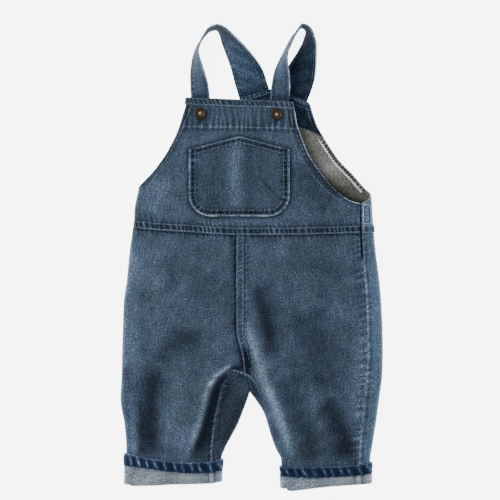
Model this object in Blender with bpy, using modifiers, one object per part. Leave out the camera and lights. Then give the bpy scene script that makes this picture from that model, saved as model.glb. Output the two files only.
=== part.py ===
"""A toddler's denim overalls, laid out flat on a table.

The garment lies on its back: +Y runs from the turned-up cuffs to the straps, +X is the
right of somebody looking down on it, and +Z is up.  Every panel is a wall of cloth.  The
back panels lie flat on the table, the front panels lie over them with the soft lift and
the folds of cloth that was put down, and the side edges are rounded folds.

Sizes are millimetres in the tables and become metres when a mesh is made.
"""

import bisect
import math

import bmesh
import bpy
from mathutils import Vector

MM = 0.001

# Driving sizes, in millimetres
DENIM = 1.4                 # one layer of denim
SEAM_GAP = 0.3              # between two pieces that are sewn together
STRAP_THICKNESS = 2.4       # two layers turned and pressed
SEAM_STRIP = 1.0            # how thick a felled seam or a facing lies on its panel
SEAM_WIDTH = 9.2            # between the outer edges of a felled seam
BAND_THICKNESS = 2.2        # the hem's three layers, seen on the turned-up cuff
CUFF_GAP = 0.7              # between a leg and its turned-up cuff
BUTTON_DIAMETER = 15.0
CROTCH_Y = -171.0           # where the two legs part
TIP_Y = -149.0              # where four panels meet on the front
WAIST_LEVEL = 36.0
CUFF_RISE = CUFF_GAP + BAND_THICKNESS
BOX_CENTRE = Vector((0.2, 0.0, 0.0))    # the middle of the whole garment's box, on the table

# Folds at the sides of the laid-out garment: y, outer left, outer right, fold radius
OUTER_FOLDS = [
    (204, -142, 151, 4.5), (120, -142, 151, 5.2), (93, -142.5, 151, 5.6), (79, -145, 152, 5.8),
    (64, -148, 153, 6.0), (48, -149, 154, 6.0), (33, -151, 155, 6.2), (3, -155, 158, 6.6),
    (-28, -158, 162, 7.0), (-58, -162, 164.5, 7.0), (-89, -163, 166, 7.0), (-119, -164, 166.5, 7.0),
    (-150, -164.5, 165.5, 7.0), (-178, -166, 162, 7.0), (-211, -161, 157.5, 6.6),
    (-241, -158.5, 152.5, 6.0), (-259, -158.5, 150, 5.6), (-296, -159, 150, 5.4)]

# Folds between the legs: y, inner edge of the left leg, inner edge of the right leg
INNER_FOLDS = [
    (-171, -3.1, -0.9), (-180, -6, 6), (-196, -12, 16), (-211, -18, 21), (-226, -26, 25.5),
    (-241, -34, 31), (-256, -39, 38), (-296, -41, 40)]

# The front rise seam: y, x
FRONT_RISE = [(40, -14.3), (-91, -14.3), (-103, -12), (-115, -9), (-130, -6.5), (-149, -6)]

# The back rise seam, on the underside: y, x
BACK_RISE = [(-171, -2), (-150, 2), (-120, 8), (-60, 16), (0, 24), (36, 27)]

# The left leg's inseam, on the upper side: y, x
LEFT_INSEAM = [(-149, -6), (-154, -31), (-161, -36), (-173, -39), (-190, -43), (-211, -47),
               (-229, -49), (-245, -50), (-296, -51)]

# The right leg's inseam: y, x on the upper side down to where it reaches the fold
RIGHT_INSEAM = [(-149, -6), (-154, -1), (-161, 4), (-171, 9.5), (-182, 14.5)]

# Below that it runs round the fold: y, cloth from the top of the fold
RIGHT_INSEAM_TURN = [(-182, 0.8), (-196, -6), (-211, -13), (-229, -18), (-246, -20), (-296, -20)]

# The side seams: y, x of the left one on the underside, x of the right one on the upper side
SIDE_SEAMS = [
    (70, -119, 139), (44, -120, 138.5), (9, -124, 140), (-23, -128, 143), (-72, -132, 146),
    (-121, -134, 147), (-154, -136, 145), (-177, -136, 143), (-210, -131, 140),
    (-241, -128, 136.5), (-296, -128, 136)]

# How far the waist seam runs above its level: x, rise on the upper side
WAIST_DROOP = [(-155, 7.5), (-120, 4.2), (-79, 1.5), (-14, -2), (60, -1.6), (137, 0.6), (158, 1)]
WAIST_FADE = 70.0

# The lift of the front over the fold height: y, height, how far in from a fold it grows
LIFT = [(204, 1.5, 90), (170, 2.5, 90), (120, 3.5, 85), (60, 5, 75), (20, 6.5, 62), (-60, 8.5, 50),
        (-140, 8, 44), (-200, 6.5, 42), (-245, 3.5, 40), (-296, 2.5, 40)]
CREASE_REACH = 18.0
FAR = 120.0                 # farther from a fold than any lift or crease grows

# Large folds of the front: height, half width, then x, y along the crest or the trough
CREASES = [
    (4.0, 12, [(-30, -136), (-46, -147), (-59, -167), (-67, -200), (-80, -238), (-86, -268)]),
    (-4.0, 12, [(-30, -164), (-43, -180), (-52, -210), (-62, -250)]),
    (-6.0, 15, [(-56, -84), (-92, -108), (-122, -149), (-127, -193), (-124, -250)]),
    (4.0, 17, [(-98, -128), (-92, -165), (-92, -205), (-101, -248)]),
    (2.5, 10, [(-146, -180), (-148, -212), (-149, -252)]),
    (-5.5, 12, [(13, -36), (20, -78), (28, -122)]),
    (5.0, 13, [(0, -58), (1, -91), (9, -128), (20, -161), (33, -193), (44, -225), (53, -256)]),
    (-4.0, 10, [(-10, -112), (-6, -128), (-5, -145)]),
    (-4.5, 14, [(96, -150), (110, -196), (121, -226), (126, -262)]),
    (3.5, 16, [(84, -60), (88, -118), (84, -180), (88, -250)]),
    (-3.0, 12, [(58, -110), (62, -160), (68, -215)]),
    (2.5, 14, [(-122, 10), (-110, -40), (-84, -70)]),
    (-2.5, 12, [(-60, 22), (-72, -20), (-64, -60)]),
    (-2.5, 12, [(64, 20), (58, -20), (40, -52)]),
    (2.5, 13, [(118, 24), (112, -24), (96, -70)]),
    (1.6, 13, [(112, 62), (88, 78), (74, 96)]),
    (1.6, 13, [(-118, 56), (-104, 84), (-98, 112)])]

# Turned-up cuffs: x, top of the hem band, foot of the band, foot of the cuff
LEFT_CUFF = [
    (-162, -247, -263, -287), (-150, -249.5, -264.5, -289), (-127, -254, -267.5, -288.5),
    (-101, -257, -270.5, -287), (-74, -258.5, -272.5, -286.5), (-53, -258, -272.5, -286),
    (-38, -255, -270, -284)]
RIGHT_CUFF = [
    (36, -263.5, -276.5, -291), (50, -265, -278, -295.5), (64, -265, -278, -294), (84, -264, -278, -291.2),
    (108, -263.5, -277, -289), (134, -262, -276, -287.5), (150, -259, -274, -286.5)]

# The bib, a row for each section: reach of the left end, its y, middle y, right end x and y
# Reach is cloth measured in from the top of the side fold, negative round the fold
# None is an end at the side seam
BIB = [
    (None, 36, 36, None, 36), (None, 52, 52, None, 53), (None, 66, 69, None, 68.5),
    (-33.0, 70, 79, 131, 70.3), (-26.0, 73.5, 86, 125, 72.6), (-20.0, 77.5, 92.5, 119.5, 75.6),
    (-15.5, 81, 97.5, 115.5, 78.2), (-11.5, 84.8, 102, 111.5, 81.5), (-7.5, 88.8, 106.5, 108, 84.6),
    (-3.5, 93, 111.2, 103.8, 88.6), (0.5, 97.5, 116.5, 99.5, 93), (5.0, 102.3, 122.5, 94.8, 98.8),
    (9.5, 107, 129, 90, 105), (25.5, 128, 145, 78, 121.5), (34.5, 143, 158, 70, 136.5),
    (41.5, 157, 170, 64, 152), (47.0, 172, 181, 58.5, 168), (52.0, 188, 191, 55.5, 183),
    (56.5, 204, 201.2, 53, 198)]

# The back bodice: left end x and y, middle y, reach of the right end, its y, roundness of the middle
BACK = [
    (None, 36, 36, None, 36, 2), (None, 52, 54, None, 53, 2), (None, 66, 71, None, 68.5, 2),
    (-112, 69, 81, 2, 72, 2), (-106, 72.3, 87, -2, 74.2, 2), (-100, 76.2, 93, -6, 77.2, 2),
    (-94.5, 80.3, 98.5, -10, 80.4, 2), (-89, 84.6, 104, -14, 83.8, 2), (-83, 90.2, 110, -18, 88, 2),
    (-76, 96.8, 118, -24, 95, 2), (-63, 109, 133, -34, 107, 2), (-50, 124, 147, -50, 124, 2),
    (-38, 140, 160, -61, 140, 2), (-29, 155, 173, -70, 155, 2), (-22.5, 170, 186, -78, 170, 1.8),
    (-18.5, 186, 200, -82.5, 184, 1.4),
    (-16, 201.5, 215.4, -86, 196, 1)]

# Straps from the back to the button: x, y, width, roll in degrees, height of the lower edge
LEFT_STRAP = [
    (3.8, 208.3, 40, 0, 0.3), (0.5, 219, 40, 2, 0.3), (-3, 230, 40, 10, 0.3), (-8, 241, 39, 26, 0.3),
    (-14, 252, 38, 39, 0.3), (-21.5, 264, 37, 51, 0.3), (-29.5, 276, 35, 62, 0.3),
    (-36.5, 286.5, 34, 75, 0.3), (-44.5, 292, 33, 86, 0.3), (-53, 289.5, 33, 90, 0.3),
    (-60, 281.5, 32, 93, 0.3), (-66, 272, 31, 96, 0.3), (-69.5, 263, 30, 99, 0.3),
    (-70.5, 254.5, 29, 107, 0.3), (-70, 246, 28, 117, 0.3), (-69, 237, 27, 129, 0.3),
    (-67.5, 227, 26, 142, 0.3), (-66, 216, 25, 157, 1.2), (-65.2, 206, 24, 170, 3.0),
    (-65, 194, 24, 178, None), (-65, 184, 24, 180, None), (-65, 171, 24, 180, None)]
RIGHT_STRAP = [
    (52.2, 206.4, 40, 0, 0.3), (56.6, 217.5, 40, 2, 0.3), (61, 229, 39, 9, 0.3), (64.5, 240, 38, 24, 0.3),
    (68, 251, 37, 40, 0.3), (71, 262, 36, 53, 0.3), (73, 272, 35, 63, 0.3),
    (73, 282, 34, 74, 0.3), (70.5, 290.5, 33, 85, 0.3), (64, 294, 33, 90, 0.3),
    (57.5, 287, 32, 93, 0.3), (52, 279, 31, 96, 0.3), (47.8, 270.5, 30, 98, 0.3),
    (44, 262, 30, 99, 0.3), (41, 253.5, 29, 106, 0.4), (39.3, 245, 28, 117, 0.8), (38.3, 236, 27, 131, 1.6),
    (37.6, 226, 26, 144, 2.6), (37, 215, 25, 159, 3.3), (36, 205, 24, 172, 4.0),
    (34, 194, 24, 178, None), (33, 184, 24, 180, None), (32, 171, 24, 180, None)]

# The pocket: sides, foot, shoulders, peak and corner radius
POCKET_LEFT, POCKET_RIGHT = -79.0, 48.0
POCKET_FOOT, POCKET_SHOULDER, POCKET_PEAK = 53.0, 137.0, 154.0
POCKET_CORNER = 27.0

BUTTONS = [("button_left", -65.0, 183.5), ("button_right", 32.0, 182.0)]


# Levels of the leg panels' rows, from the waist seam down to the cuffs
FRONT_LEVELS = [35.8, 24, 12, 0, -13, -26, -39, -52, -66, -80, -92, -104, -116, -127, -138, -149, -154,
                -161, -170, -180, -190, -201, -212, -224, -236, -248, -260, -272]

# The back's rows round the crotch: y of the inner end, y at the fold between the legs, y at the side
CROTCH_ROWS = [(-180, -184, -182), (-170, -179, -174), (-161, -176, -166), (-154, -174, -158),
               (-149, -172.6, -150), (-160, -171.8, -142), (-171, -171.2, -134)]

# The back's rows above the crotch: y at the rise seam, y at the side
SEAT_ROWS = [(-163, -126), (-148, -115), (-130, -102), (-108, -86), (-82, -66), (-54, -44),
             (-26, -20), (5, 6), (35.8, 35.8)]

FOLD_STEPS = 12             # points round a fold before they are shared out
RUN_STEP = 4.0              # between such points on flat cloth
FOLD_WEIGHT = 2.4           # how much closer the mesh is round a fold
SEAM_HALF = 0.25            # from a seam's line to the cloth on each side of it
HEM_HALF = 0.35             # the same at the foot of a cuff's band
SIDE_OPENING = 1.8          # the slit above the right hip
CUFF_END = 3.2              # from the foot of a cuff to the end of the leg inside it
FRONT_END = 1.0             # how much higher the front panel ends
CUFF_END_GAP = 0.9          # between that end and the end of the cloth turned in below it
RIGHT_TURN_Y = -184.0       # below this the right inseam lies in the fold or under it
INSEAM_ROWS = 4             # crotch rows that end on the inseam
TIP_SETBACK = 0.5           # how far below the tip the back panels stop
CROTCH_HALF = 0.4           # the same between the two back panels
RISE_X = -14.0              # where a row of a front leg panel is read to meet the rise seam
RISE_TAPER = 0.4            # how much narrower the rise's felled seam gets at its foot
RISE_CLEARANCE = 0.2        # how much higher that seam lies than the waist's
LEG_END_Y = -285.0
CUFF_TURN = 10.0            # from the foot of a cuff to its first row above the turn
WAIST_SEAM_START, WAIST_SEAM_END = -5.0, -10.0      # its ends, as reach at the left and the right fold

# Steps and columns of the meshes
BIB_STEPS, BIB_COLUMNS = 40, 27
BACK_COLUMNS = 24
LEG_COLUMNS, WRAPPED_COLUMNS = 17, 20
CUFF_COLUMNS = 41
STRAP_COLUMNS = 2
POCKET_COLUMNS = 12
WAIST_STEPS, WAIST_COLUMNS, HIP_COLUMNS = 60, 32, 7
TOP_HEM_STEPS, FACING_STEPS = 18, 12
BUTTON_STEPS = 20
BUTTON_REST = 0.5           # under a button's rim
OVERLAY_GAP = 0.45          # under what lies on a curved panel
UPPER_Z = 6.0               # points above this are on the upper layer
HEM_DEPTH = 9.0
HEM_FIRST, HEM_LAST = 9, 13     # rows of the back that its armholes' hems run between
HEM_TUCK = -5.0             # how far a hem's upper end stops short of the facing
FACING_INSET = 1.5

# Between the two back panels, from the tip on the front to where the legs part: y, x
CROTCH_SEAM = [(-171, -2), (-160, -4.2), (-149, -6)]

# The finish of each kind of cloth and metal: colour, roughness, metallic
FINISHES = {
    "denim": ((0.052, 0.092, 0.135), 0.9, 0.0),
    "denim_back": ((0.042, 0.075, 0.112), 0.9, 0.0),
    "wrong_side": ((0.28, 0.30, 0.32), 0.95, 0.0),
    "navy": ((0.016, 0.028, 0.055), 0.9, 0.0),
    "button": ((0.10, 0.06, 0.04), 0.4, 0.9)}


SORTED = {}                 # each table and column that has been read, in order


def curve(table, at, column=1):
    """Read a smooth curve through a table's rows at a value of its first column."""
    key = (id(table), column)
    if key not in SORTED:
        rows = sorted(table)
        steps = [(high[column] - low[column]) / (high[0] - low[0]) for low, high in zip(rows, rows[1:])]
        slopes = [steps[0]]
        for before, behind in zip(steps, steps[1:]):
            slopes.append(2 * before * behind / (before + behind) if before * behind > 0.0 else 0.0)
        slopes.append(steps[-1])
        SORTED[key] = ([row[0] for row in rows], [row[column] for row in rows], slopes)
    marks, values, slopes = SORTED[key]
    if at <= marks[0]:
        return values[0]
    if at >= marks[-1]:
        return values[-1]
    i = bisect.bisect_right(marks, at) - 1
    span = marks[i + 1] - marks[i]
    t = (at - marks[i]) / span
    t2, t3 = t * t, t * t * t
    return ((2 * t3 - 3 * t2 + 1) * values[i] + (t3 - 2 * t2 + t) * span * slopes[i]
            + (3 * t2 - 2 * t3) * values[i + 1] + (t3 - t2) * span * slopes[i + 1])


def ease(value):
    """Go smoothly from 0 to 1 as the value does."""
    value = min(max(value, 0.0), 1.0)
    return value * value * (3.0 - 2.0 * value)


def segment_distance(x, y, start, end):
    """Distance from a point to a straight stretch, and how far along it the nearest point is."""
    dx, dy = end[0] - start[0], end[1] - start[1]
    along = ((x - start[0]) * dx + (y - start[1]) * dy) / (dx * dx + dy * dy)
    along = min(max(along, 0.0), 1.0)
    return math.hypot(x - start[0] - along * dx, y - start[1] - along * dy), along


def fold_edge(side, y):
    """The x of a fold's outermost line and the fold's radius."""
    radius = curve(OUTER_FOLDS, y, 3)
    if side == "left":
        return curve(OUTER_FOLDS, y, 1), radius
    if side == "right":
        return curve(OUTER_FOLDS, y, 2), radius
    return curve(INNER_FOLDS, y, 1 if side == "left_inner" else 2), radius


def inward(side):
    """Which way along X a fold's cloth lies."""
    return 1.0 if side in ("left", "right_inner") else -1.0


def under_height(y):
    """The middle of the lower layer: on the table, or on the cuff near a leg's end."""
    return DENIM / 2 + CUFF_RISE * ease((-212.0 - y) / 32.0)


def inner_distance(x, y):
    """How far a point is from the folds between the legs."""
    if y > CROTCH_Y + FAR:
        return FAR
    nearest = FAR
    for column in (1, 2):
        for low, high in zip(INNER_FOLDS, INNER_FOLDS[1:]):
            gap, _ = segment_distance(x, y, (low[column], low[0]), (high[column], high[0]))
            nearest = min(nearest, gap)
    return nearest


def crease_height(x, y):
    """Add up the large folds at a point of the front."""
    total = 0.0
    for height, width, points in CREASES:
        nearest, place = 1000.0, 0.0
        last = len(points) - 1
        for i, (start, end) in enumerate(zip(points, points[1:])):
            gap, along = segment_distance(x, y, start, end)
            if gap < nearest:
                nearest, place = gap, (i + along) / last
        if nearest < 3.0 * width:
            ends = ease(place * 4.0 + 0.25) * ease((1.0 - place) * 4.0 + 0.25)
            total += height * ends * math.exp(-(nearest / width) ** 2)
    return total


def over_height(x, y):
    """The middle of the upper layer's cloth."""
    left, radius = fold_edge("left", y)
    right, _ = fold_edge("right", y)
    lift, lift_reach, crease = curve(LIFT, y), curve(LIFT, y, 2), 1.0
    for gap in (x - left - radius, right - radius - x, inner_distance(x, y) - radius):
        lift *= ease(gap / lift_reach)
        crease *= ease(gap / CREASE_REACH)
    if crease > 0.0:
        crease *= crease_height(x, y)
    return under_height(y) + 2.0 * radius + lift + crease


def over(x, y, out=0.0):
    """A point on the upper layer, moved out from the cloth's middle."""
    point = Vector((x, y, over_height(x, y)))
    if out == 0.0:
        return point
    step = 0.5
    slope_x = (over_height(x + step, y) - over_height(x - step, y)) / (2 * step)
    slope_y = (over_height(x, y + step) - over_height(x, y - step)) / (2 * step)
    return point + Vector((-slope_x, -slope_y, 1.0)).normalized() * out


def around(side, y, reach, out=0.0):
    """A point near a fold, by the cloth's reach in from the top of the fold."""
    edge, radius = fold_edge(side, y)
    way = inward(side)
    if reach >= 0.0:
        return over(edge + way * (radius + reach), y, out)
    angle = -reach / radius
    low = under_height(y)
    if angle < math.pi:
        grown = radius + out
        x = edge + way * (radius - grown * math.sin(angle))
        return Vector((x, y, low + radius + grown * math.cos(angle)))
    return Vector((edge + way * (radius - reach - math.pi * radius), y, low - out))


def reach_over(side, x, y):
    """The reach of a point of the upper layer."""
    edge, radius = fold_edge(side, y)
    inside = inward(side) * (x - edge)
    if inside >= radius:
        return inside - radius
    return -radius * math.asin(min(1.0, 1.0 - inside / radius))


def reach_under(side, x, y):
    """The reach of a point of the lower layer."""
    edge, radius = fold_edge(side, y)
    return -math.pi * radius - (inward(side) * (x - edge) - radius)


def waist_line(level):
    """A line across the garment at a level, which near the waist isn't quite straight."""
    share = ease(1.0 - abs(level - WAIST_LEVEL) / WAIST_FADE)
    left, right = WAIST_DROOP[0], WAIST_DROOP[-1]

    def height(x, upper=True):
        if upper:
            return level + share * curve(WAIST_DROOP, x)
        return level + share * (left[1] + (right[1] - left[1]) * (x - left[0]) / (right[0] - left[0]))
    return height


def cuff_line(leg, column, rise=0.0):
    """A line across a leg that follows its turned-up cuff."""
    table = LEFT_CUFF if leg == "left" else RIGHT_CUFF

    def height(x, upper=True):
        if upper:
            return curve(table, x, column) + rise
        low, high = table[0], table[-1]
        share = min(max((x - low[0]) / (high[0] - low[0]), 0.0), 1.0)
        return low[column] + (high[column] - low[column]) * share + rise
    return height


def bow(left, middle, right, t, roundness=2.0):
    """A value that bows from its left end through its middle to its right end."""
    straight = left + (right - left) * t
    return straight + (middle - (left + right) / 2) * (1.0 - abs(2.0 * t - 1.0) ** roundness)


def sweep(side, line_y, start, end, out=0.0):
    """A line of cloth round one fold, as points with their weight.

    line_y gives the line's y at an x of the upper or the lower layer.
    """
    edge = fold_edge(side, line_y(fold_edge(side, WAIST_LEVEL)[0]))[0]
    fold_y = line_y(edge)
    edge, radius = fold_edge(side, fold_y)
    way = inward(side)
    fold_end = -math.pi * radius
    low, high = min(start, end), max(start, end)
    marks = {start, end} | {mark for mark in (0.0, fold_end) if low < mark < high}
    marks = sorted(marks, reverse=start > end)
    line = []
    for first, last in zip(marks, marks[1:]):
        turning = min(first, last) > fold_end - 0.01 and max(first, last) < 0.01
        steps = FOLD_STEPS if turning else max(2, int(abs(last - first) / RUN_STEP) + 1)
        for i in range(steps + 1):
            value = first + (last - first) * i / steps
            if value > 0.0:
                y = line_y(edge + way * (radius + value))
            elif value < fold_end:
                y = line_y(edge + way * (radius - value + fold_end), False)
            else:
                y = fold_y
            line.append((around(side, y, value, out), FOLD_WEIGHT if turning else 1.0))
    return line


def run(start, end, upper=True, out=0.0):
    """A straight line of cloth on one layer, between two points of the plan."""
    length = math.hypot(end[0] - start[0], end[1] - start[1])
    steps = max(1, int(length / RUN_STEP))
    line = []
    for i in range(steps + 1):
        x = start[0] + (end[0] - start[0]) * i / steps
        y = start[1] + (end[1] - start[1]) * i / steps
        point = over(x, y, out) if upper else Vector((x, y, under_height(y) - out))
        line.append((point, 1.0))
    return line


def share_out(line, count):
    """Points shared out along a weighted line."""
    reach = [0.0]
    for (point, weight), (after, later) in zip(line, line[1:]):
        reach.append(reach[-1] + (after - point).length * (weight + later) / 2)
    points, i = [], 0
    for k in range(count):
        goal = reach[-1] * k / (count - 1)
        while i < len(reach) - 2 and reach[i + 1] < goal:
            i += 1
        span = reach[i + 1] - reach[i]
        t = (goal - reach[i]) / span if span > 0.0 else 0.0
        points.append(line[i][0].lerp(line[i + 1][0], t))
    return points


def side_seam(side, y, part):
    """The end of a front or back panel at a side seam: its x on the layer that carries the seam."""
    away = -1.0 if part == "front" else 1.0
    if side == "left":
        return curve(SIDE_SEAMS, y, 1) + away * SEAM_HALF
    opening = SIDE_OPENING * ease((y + 6.0) / 12.0) * ease((78.0 - y) / 8.0)
    return curve(SIDE_SEAMS, y, 2) + away * (SEAM_HALF + opening / 2)


def inseam(leg, y, part):
    """The end of a front or back panel at an inseam, on the upper layer."""
    table = LEFT_INSEAM if leg == "left" else RIGHT_INSEAM
    x = curve(table, y)
    side = -1.0 if leg == "left" else 1.0
    away = side if part == "front" else -side
    return x + away * SEAM_HALF, y + (SEAM_HALF if part == "front" else -SEAM_HALF)


def finish(piece, kind):
    """Give a piece a material of its own."""
    colour, roughness, metallic = FINISHES[kind]
    material = bpy.data.materials.new(piece.name + "_material")
    material.use_nodes = True
    shader = material.node_tree.nodes["Principled BSDF"]
    shader.inputs["Base Color"].default_value = (*colour, 1.0)
    shader.inputs["Roughness"].default_value = roughness
    shader.inputs["Metallic"].default_value = metallic
    piece.data.materials.append(material)


def cloth(name, rows, thickness, kind, collection, ring=False):
    """Shape a grid by rows of points and give it the cloth's thickness."""
    across, along = len(rows[0]), len(rows)
    mesh = bpy.data.meshes.new(name)
    form = bmesh.new()
    bmesh.ops.create_grid(form, x_segments=across - 1, y_segments=along - 1, size=0.5)
    for vertex in form.verts:
        column = round((vertex.co.x + 0.5) * (across - 1))
        row = round((vertex.co.y + 0.5) * (along - 1))
        vertex.co = (rows[row][column] - BOX_CENTRE) * MM
    if ring:
        bmesh.ops.remove_doubles(form, verts=form.verts, dist=0.01 * MM)
    bmesh.ops.triangulate(form, faces=form.faces[:], quad_method="SHORT_EDGE")
    form.to_mesh(mesh)
    form.free()
    mesh.shade_smooth()
    piece = bpy.data.objects.new(name, mesh)
    collection.objects.link(piece)
    wall = piece.modifiers.new("Wall", "SOLIDIFY")
    wall.thickness = thickness * MM
    wall.offset = 0.0
    finish(piece, kind)
    return piece


def front_bib(collection):
    """The bib with the front of the bodice, from the waist seam to its top edge."""
    rows = []
    lowest = WAIST_LEVEL + SEAM_HALF
    for reach, left_y, middle_y, right_x, right_y in BIB:
        left_y, middle_y, right_y = max(left_y, lowest), max(middle_y, lowest), max(right_y, lowest)
        left_line = waist_line(left_y)
        if reach is None:
            edge_y = left_line(fold_edge("left", left_y)[0])
            reach = reach_under("left", side_seam("left", edge_y, "front"), edge_y)
        if right_x is None:
            right_x = side_seam("right", right_y, "front")
        line = sweep("left", left_line, reach, 0.0) if reach < 0.0 else []
        start_x = around("left", left_line(fold_edge("left", left_y)[0]), max(reach, 0.0)).x
        for i in range(BIB_STEPS + 1):
            t = i / BIB_STEPS
            x = start_x + (right_x - start_x) * t
            level = bow(left_y, middle_y, right_y, t)
            line.append((over(x, waist_line(level)(x)), 1.0))
        rows.append(share_out(line, BIB_COLUMNS))
    return cloth("bib_front", rows, DENIM, "denim", collection)


def back_bodice(collection):
    """The back from the waist seam to its peaked top edge, flat on the table."""
    rows = []
    lowest = WAIST_LEVEL + SEAM_HALF
    for left_x, left_y, middle_y, reach, right_y, roundness in BACK:
        left_y, middle_y, right_y = max(left_y, lowest), max(middle_y, lowest), max(right_y, lowest)
        right_line = waist_line(right_y)
        edge_y = right_line(fold_edge("right", right_y)[0])
        if left_x is None:
            left_x = side_seam("left", waist_line(left_y)(-120.0, False), "back")
        if reach is None:
            reach = reach_over("right", side_seam("right", edge_y, "back"), edge_y)
        _, radius = fold_edge("right", edge_y)
        end_x = around("right", edge_y, min(reach, -math.pi * radius)).x
        line = []
        for i in range(BIB_STEPS + 1):
            t = i / BIB_STEPS
            x = left_x + (end_x - left_x) * t
            y = waist_line(bow(left_y, middle_y, right_y, t, roundness))(x, False)
            line.append((Vector((x, y, under_height(y))), 1.0))
        if reach > -math.pi * radius:
            line += sweep("right", right_line, -math.pi * radius, reach)
        rows.append(share_out(line, BACK_COLUMNS))
    return cloth("back_bodice", rows, DENIM, "denim_back", collection)


def front_leg(leg, collection):
    """A front leg panel, from the waist seam to the fold of its cuff."""
    rows = []
    lines = [waist_line(level) for level in FRONT_LEVELS] + [cuff_line(leg, 3, CUFF_END + FRONT_END)]
    for line_y in lines:
        level = line_y(-90.0 if leg == "left" else 90.0)
        middle_y = line_y(RISE_X)
        if leg == "left":
            edge_y = line_y(fold_edge("left", level)[0])
            reach = reach_under("left", side_seam("left", edge_y, "front"), edge_y)
            line = sweep("left", line_y, reach, 0.0)
            end = (curve(FRONT_RISE, middle_y) - SEAM_HALF, middle_y)
            if middle_y < TIP_Y - 1.0:
                end = inseam("left", line_y(curve(LEFT_INSEAM, level)), "front")
            start = line[-1][0]
            line += bent_run(line_y, start.x, end)
        else:
            seam_y = line_y(140.0)
            end = (side_seam("right", seam_y, "front"), seam_y)
            if middle_y > TIP_Y - 1.0:
                start = (curve(FRONT_RISE, middle_y) + SEAM_HALF, middle_y)
                line = []
            elif level > RIGHT_TURN_Y:
                start = inseam("right", level, "front")
                line = []
            else:
                edge_y = line_y(fold_edge("right_inner", level)[0])
                reach = curve(RIGHT_INSEAM_TURN, edge_y) + SEAM_HALF
                line = sweep("right_inner", line_y, reach, 0.0) if reach < 0.0 else []
                start = around("right_inner", edge_y, max(reach, 0.0))
            line += bent_run(line_y, start[0], end, None if line else start)
        rows.append(share_out(line, LEG_COLUMNS))
    cloth("leg_front_" + leg, rows, DENIM, "denim", collection)
    return rows


def bent_run(line_y, start_x, end, start=None):
    """A run over the upper layer along a line, drawn to its ends where they lie off it."""
    begin_off = start[1] - line_y(start[0]) if start else 0.0
    end_off = end[1] - line_y(end[0])
    steps = max(2, int(abs(end[0] - start_x) / RUN_STEP))
    line = []
    for i in range(steps + 1):
        t = i / steps
        x = start_x + (end[0] - start_x) * t
        line.append((over(x, line_y(x) + begin_off * (1.0 - t) ** 4 + end_off * t ** 4), 1.0))
    return line


def back_leg(leg, collection):
    """A back leg panel: flat underneath, and round the inner fold to the inseam on top."""
    inner, way = leg + "_inner", inward(leg + "_inner")
    rows = []

    def side_end(y, line_y=None):
        """From the middle of the lower layer to the side seam."""
        line_y = line_y or waist_line(y)
        if leg == "left":
            seam_y = line_y(-130.0, False)
            end = (side_seam("left", seam_y, "back"), seam_y)
            return run((middle_x, line_y(middle_x, False)), end, False)
        edge_y = line_y(fold_edge("right", y)[0])
        _, radius = fold_edge("right", edge_y)
        last = reach_over("right", side_seam("right", line_y(140.0), "back"), edge_y)
        return sweep("right", line_y, reach_under("right", middle_x, edge_y), last)

    middle_x = -90.0 if leg == "left" else 90.0
    leg_levels = [level for level in FRONT_LEVELS if level < -185.0]
    lines = [(level, waist_line(level)) for level in leg_levels]
    lines.append((LEG_END_Y, cuff_line(leg, 3, CUFF_END)))
    for level, line_y in reversed(lines):
        edge_y = line_y(fold_edge(inner, level)[0])
        if leg == "left":
            end_x, end_y = inseam("left", line_y(curve(LEFT_INSEAM, level)), "back")
            reach = reach_over(inner, end_x, end_y)
        else:
            reach = curve(RIGHT_INSEAM_TURN, edge_y) - SEAM_HALF
        line = sweep(inner, line_y, reach, reach_under(inner, middle_x, edge_y))
        rows.append(line + side_end(level, line_y))
    for end_y, fold_y, side_y in CROTCH_ROWS:
        edge, radius = fold_edge(inner, fold_y)
        if len(rows) < len(leg_levels) + 1 + INSEAM_ROWS:
            end = inseam(leg, end_y, "back")
        else:
            setback = TIP_SETBACK if end_y == TIP_Y else 0.0
            end = (curve(CROTCH_SEAM, end_y) + way * CROTCH_HALF, end_y - setback)
        top = (edge + way * radius, fold_y)
        line = run(end, top)
        if end_y == CROTCH_Y:
            line = []
        first = 0.0 if line else -math.pi * radius / 2
        line += [(around(inner, fold_y, first + (-math.pi * radius - first) * i / FOLD_STEPS), FOLD_WEIGHT)
                 for i in range(FOLD_STEPS + 1)]
        line += run(top, (middle_x, side_y), False)
        rows.append(line + side_end(side_y))
    for end_y, side_y in SEAT_ROWS:
        end_x = curve(BACK_RISE, end_y) + way * SEAM_HALF
        end = (end_x, waist_line(end_y)(end_x, False))
        line = run(end, (middle_x, waist_line(side_y)(middle_x, False)), False)
        rows.append(line + side_end(side_y))
    rows = [share_out(line, LEG_COLUMNS if leg == "left" else WRAPPED_COLUMNS) for line in rows]
    if leg == "left":
        rows = [list(reversed(row)) for row in rows]
    return cloth("leg_back_" + leg, rows, DENIM, "denim_back", collection)


def leg_ring(leg, line_y, out):
    """A closed line of cloth round a leg, moved out from the leg's own wall."""
    outer, inner = leg, leg + "_inner"
    right_side, left_side = (inner, outer) if leg == "left" else (outer, inner)
    middle_x = -95.0 if leg == "left" else 95.0
    line = []
    for side, upward in ((right_side, True), (left_side, False)):
        edge_y = line_y(fold_edge(side, line_y(middle_x))[0])
        low, high = reach_under(side, middle_x, edge_y), reach_over(side, middle_x, edge_y)
        line += sweep(side, line_y, low, high, out) if upward else sweep(side, line_y, high, low, out)
    return line


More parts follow.
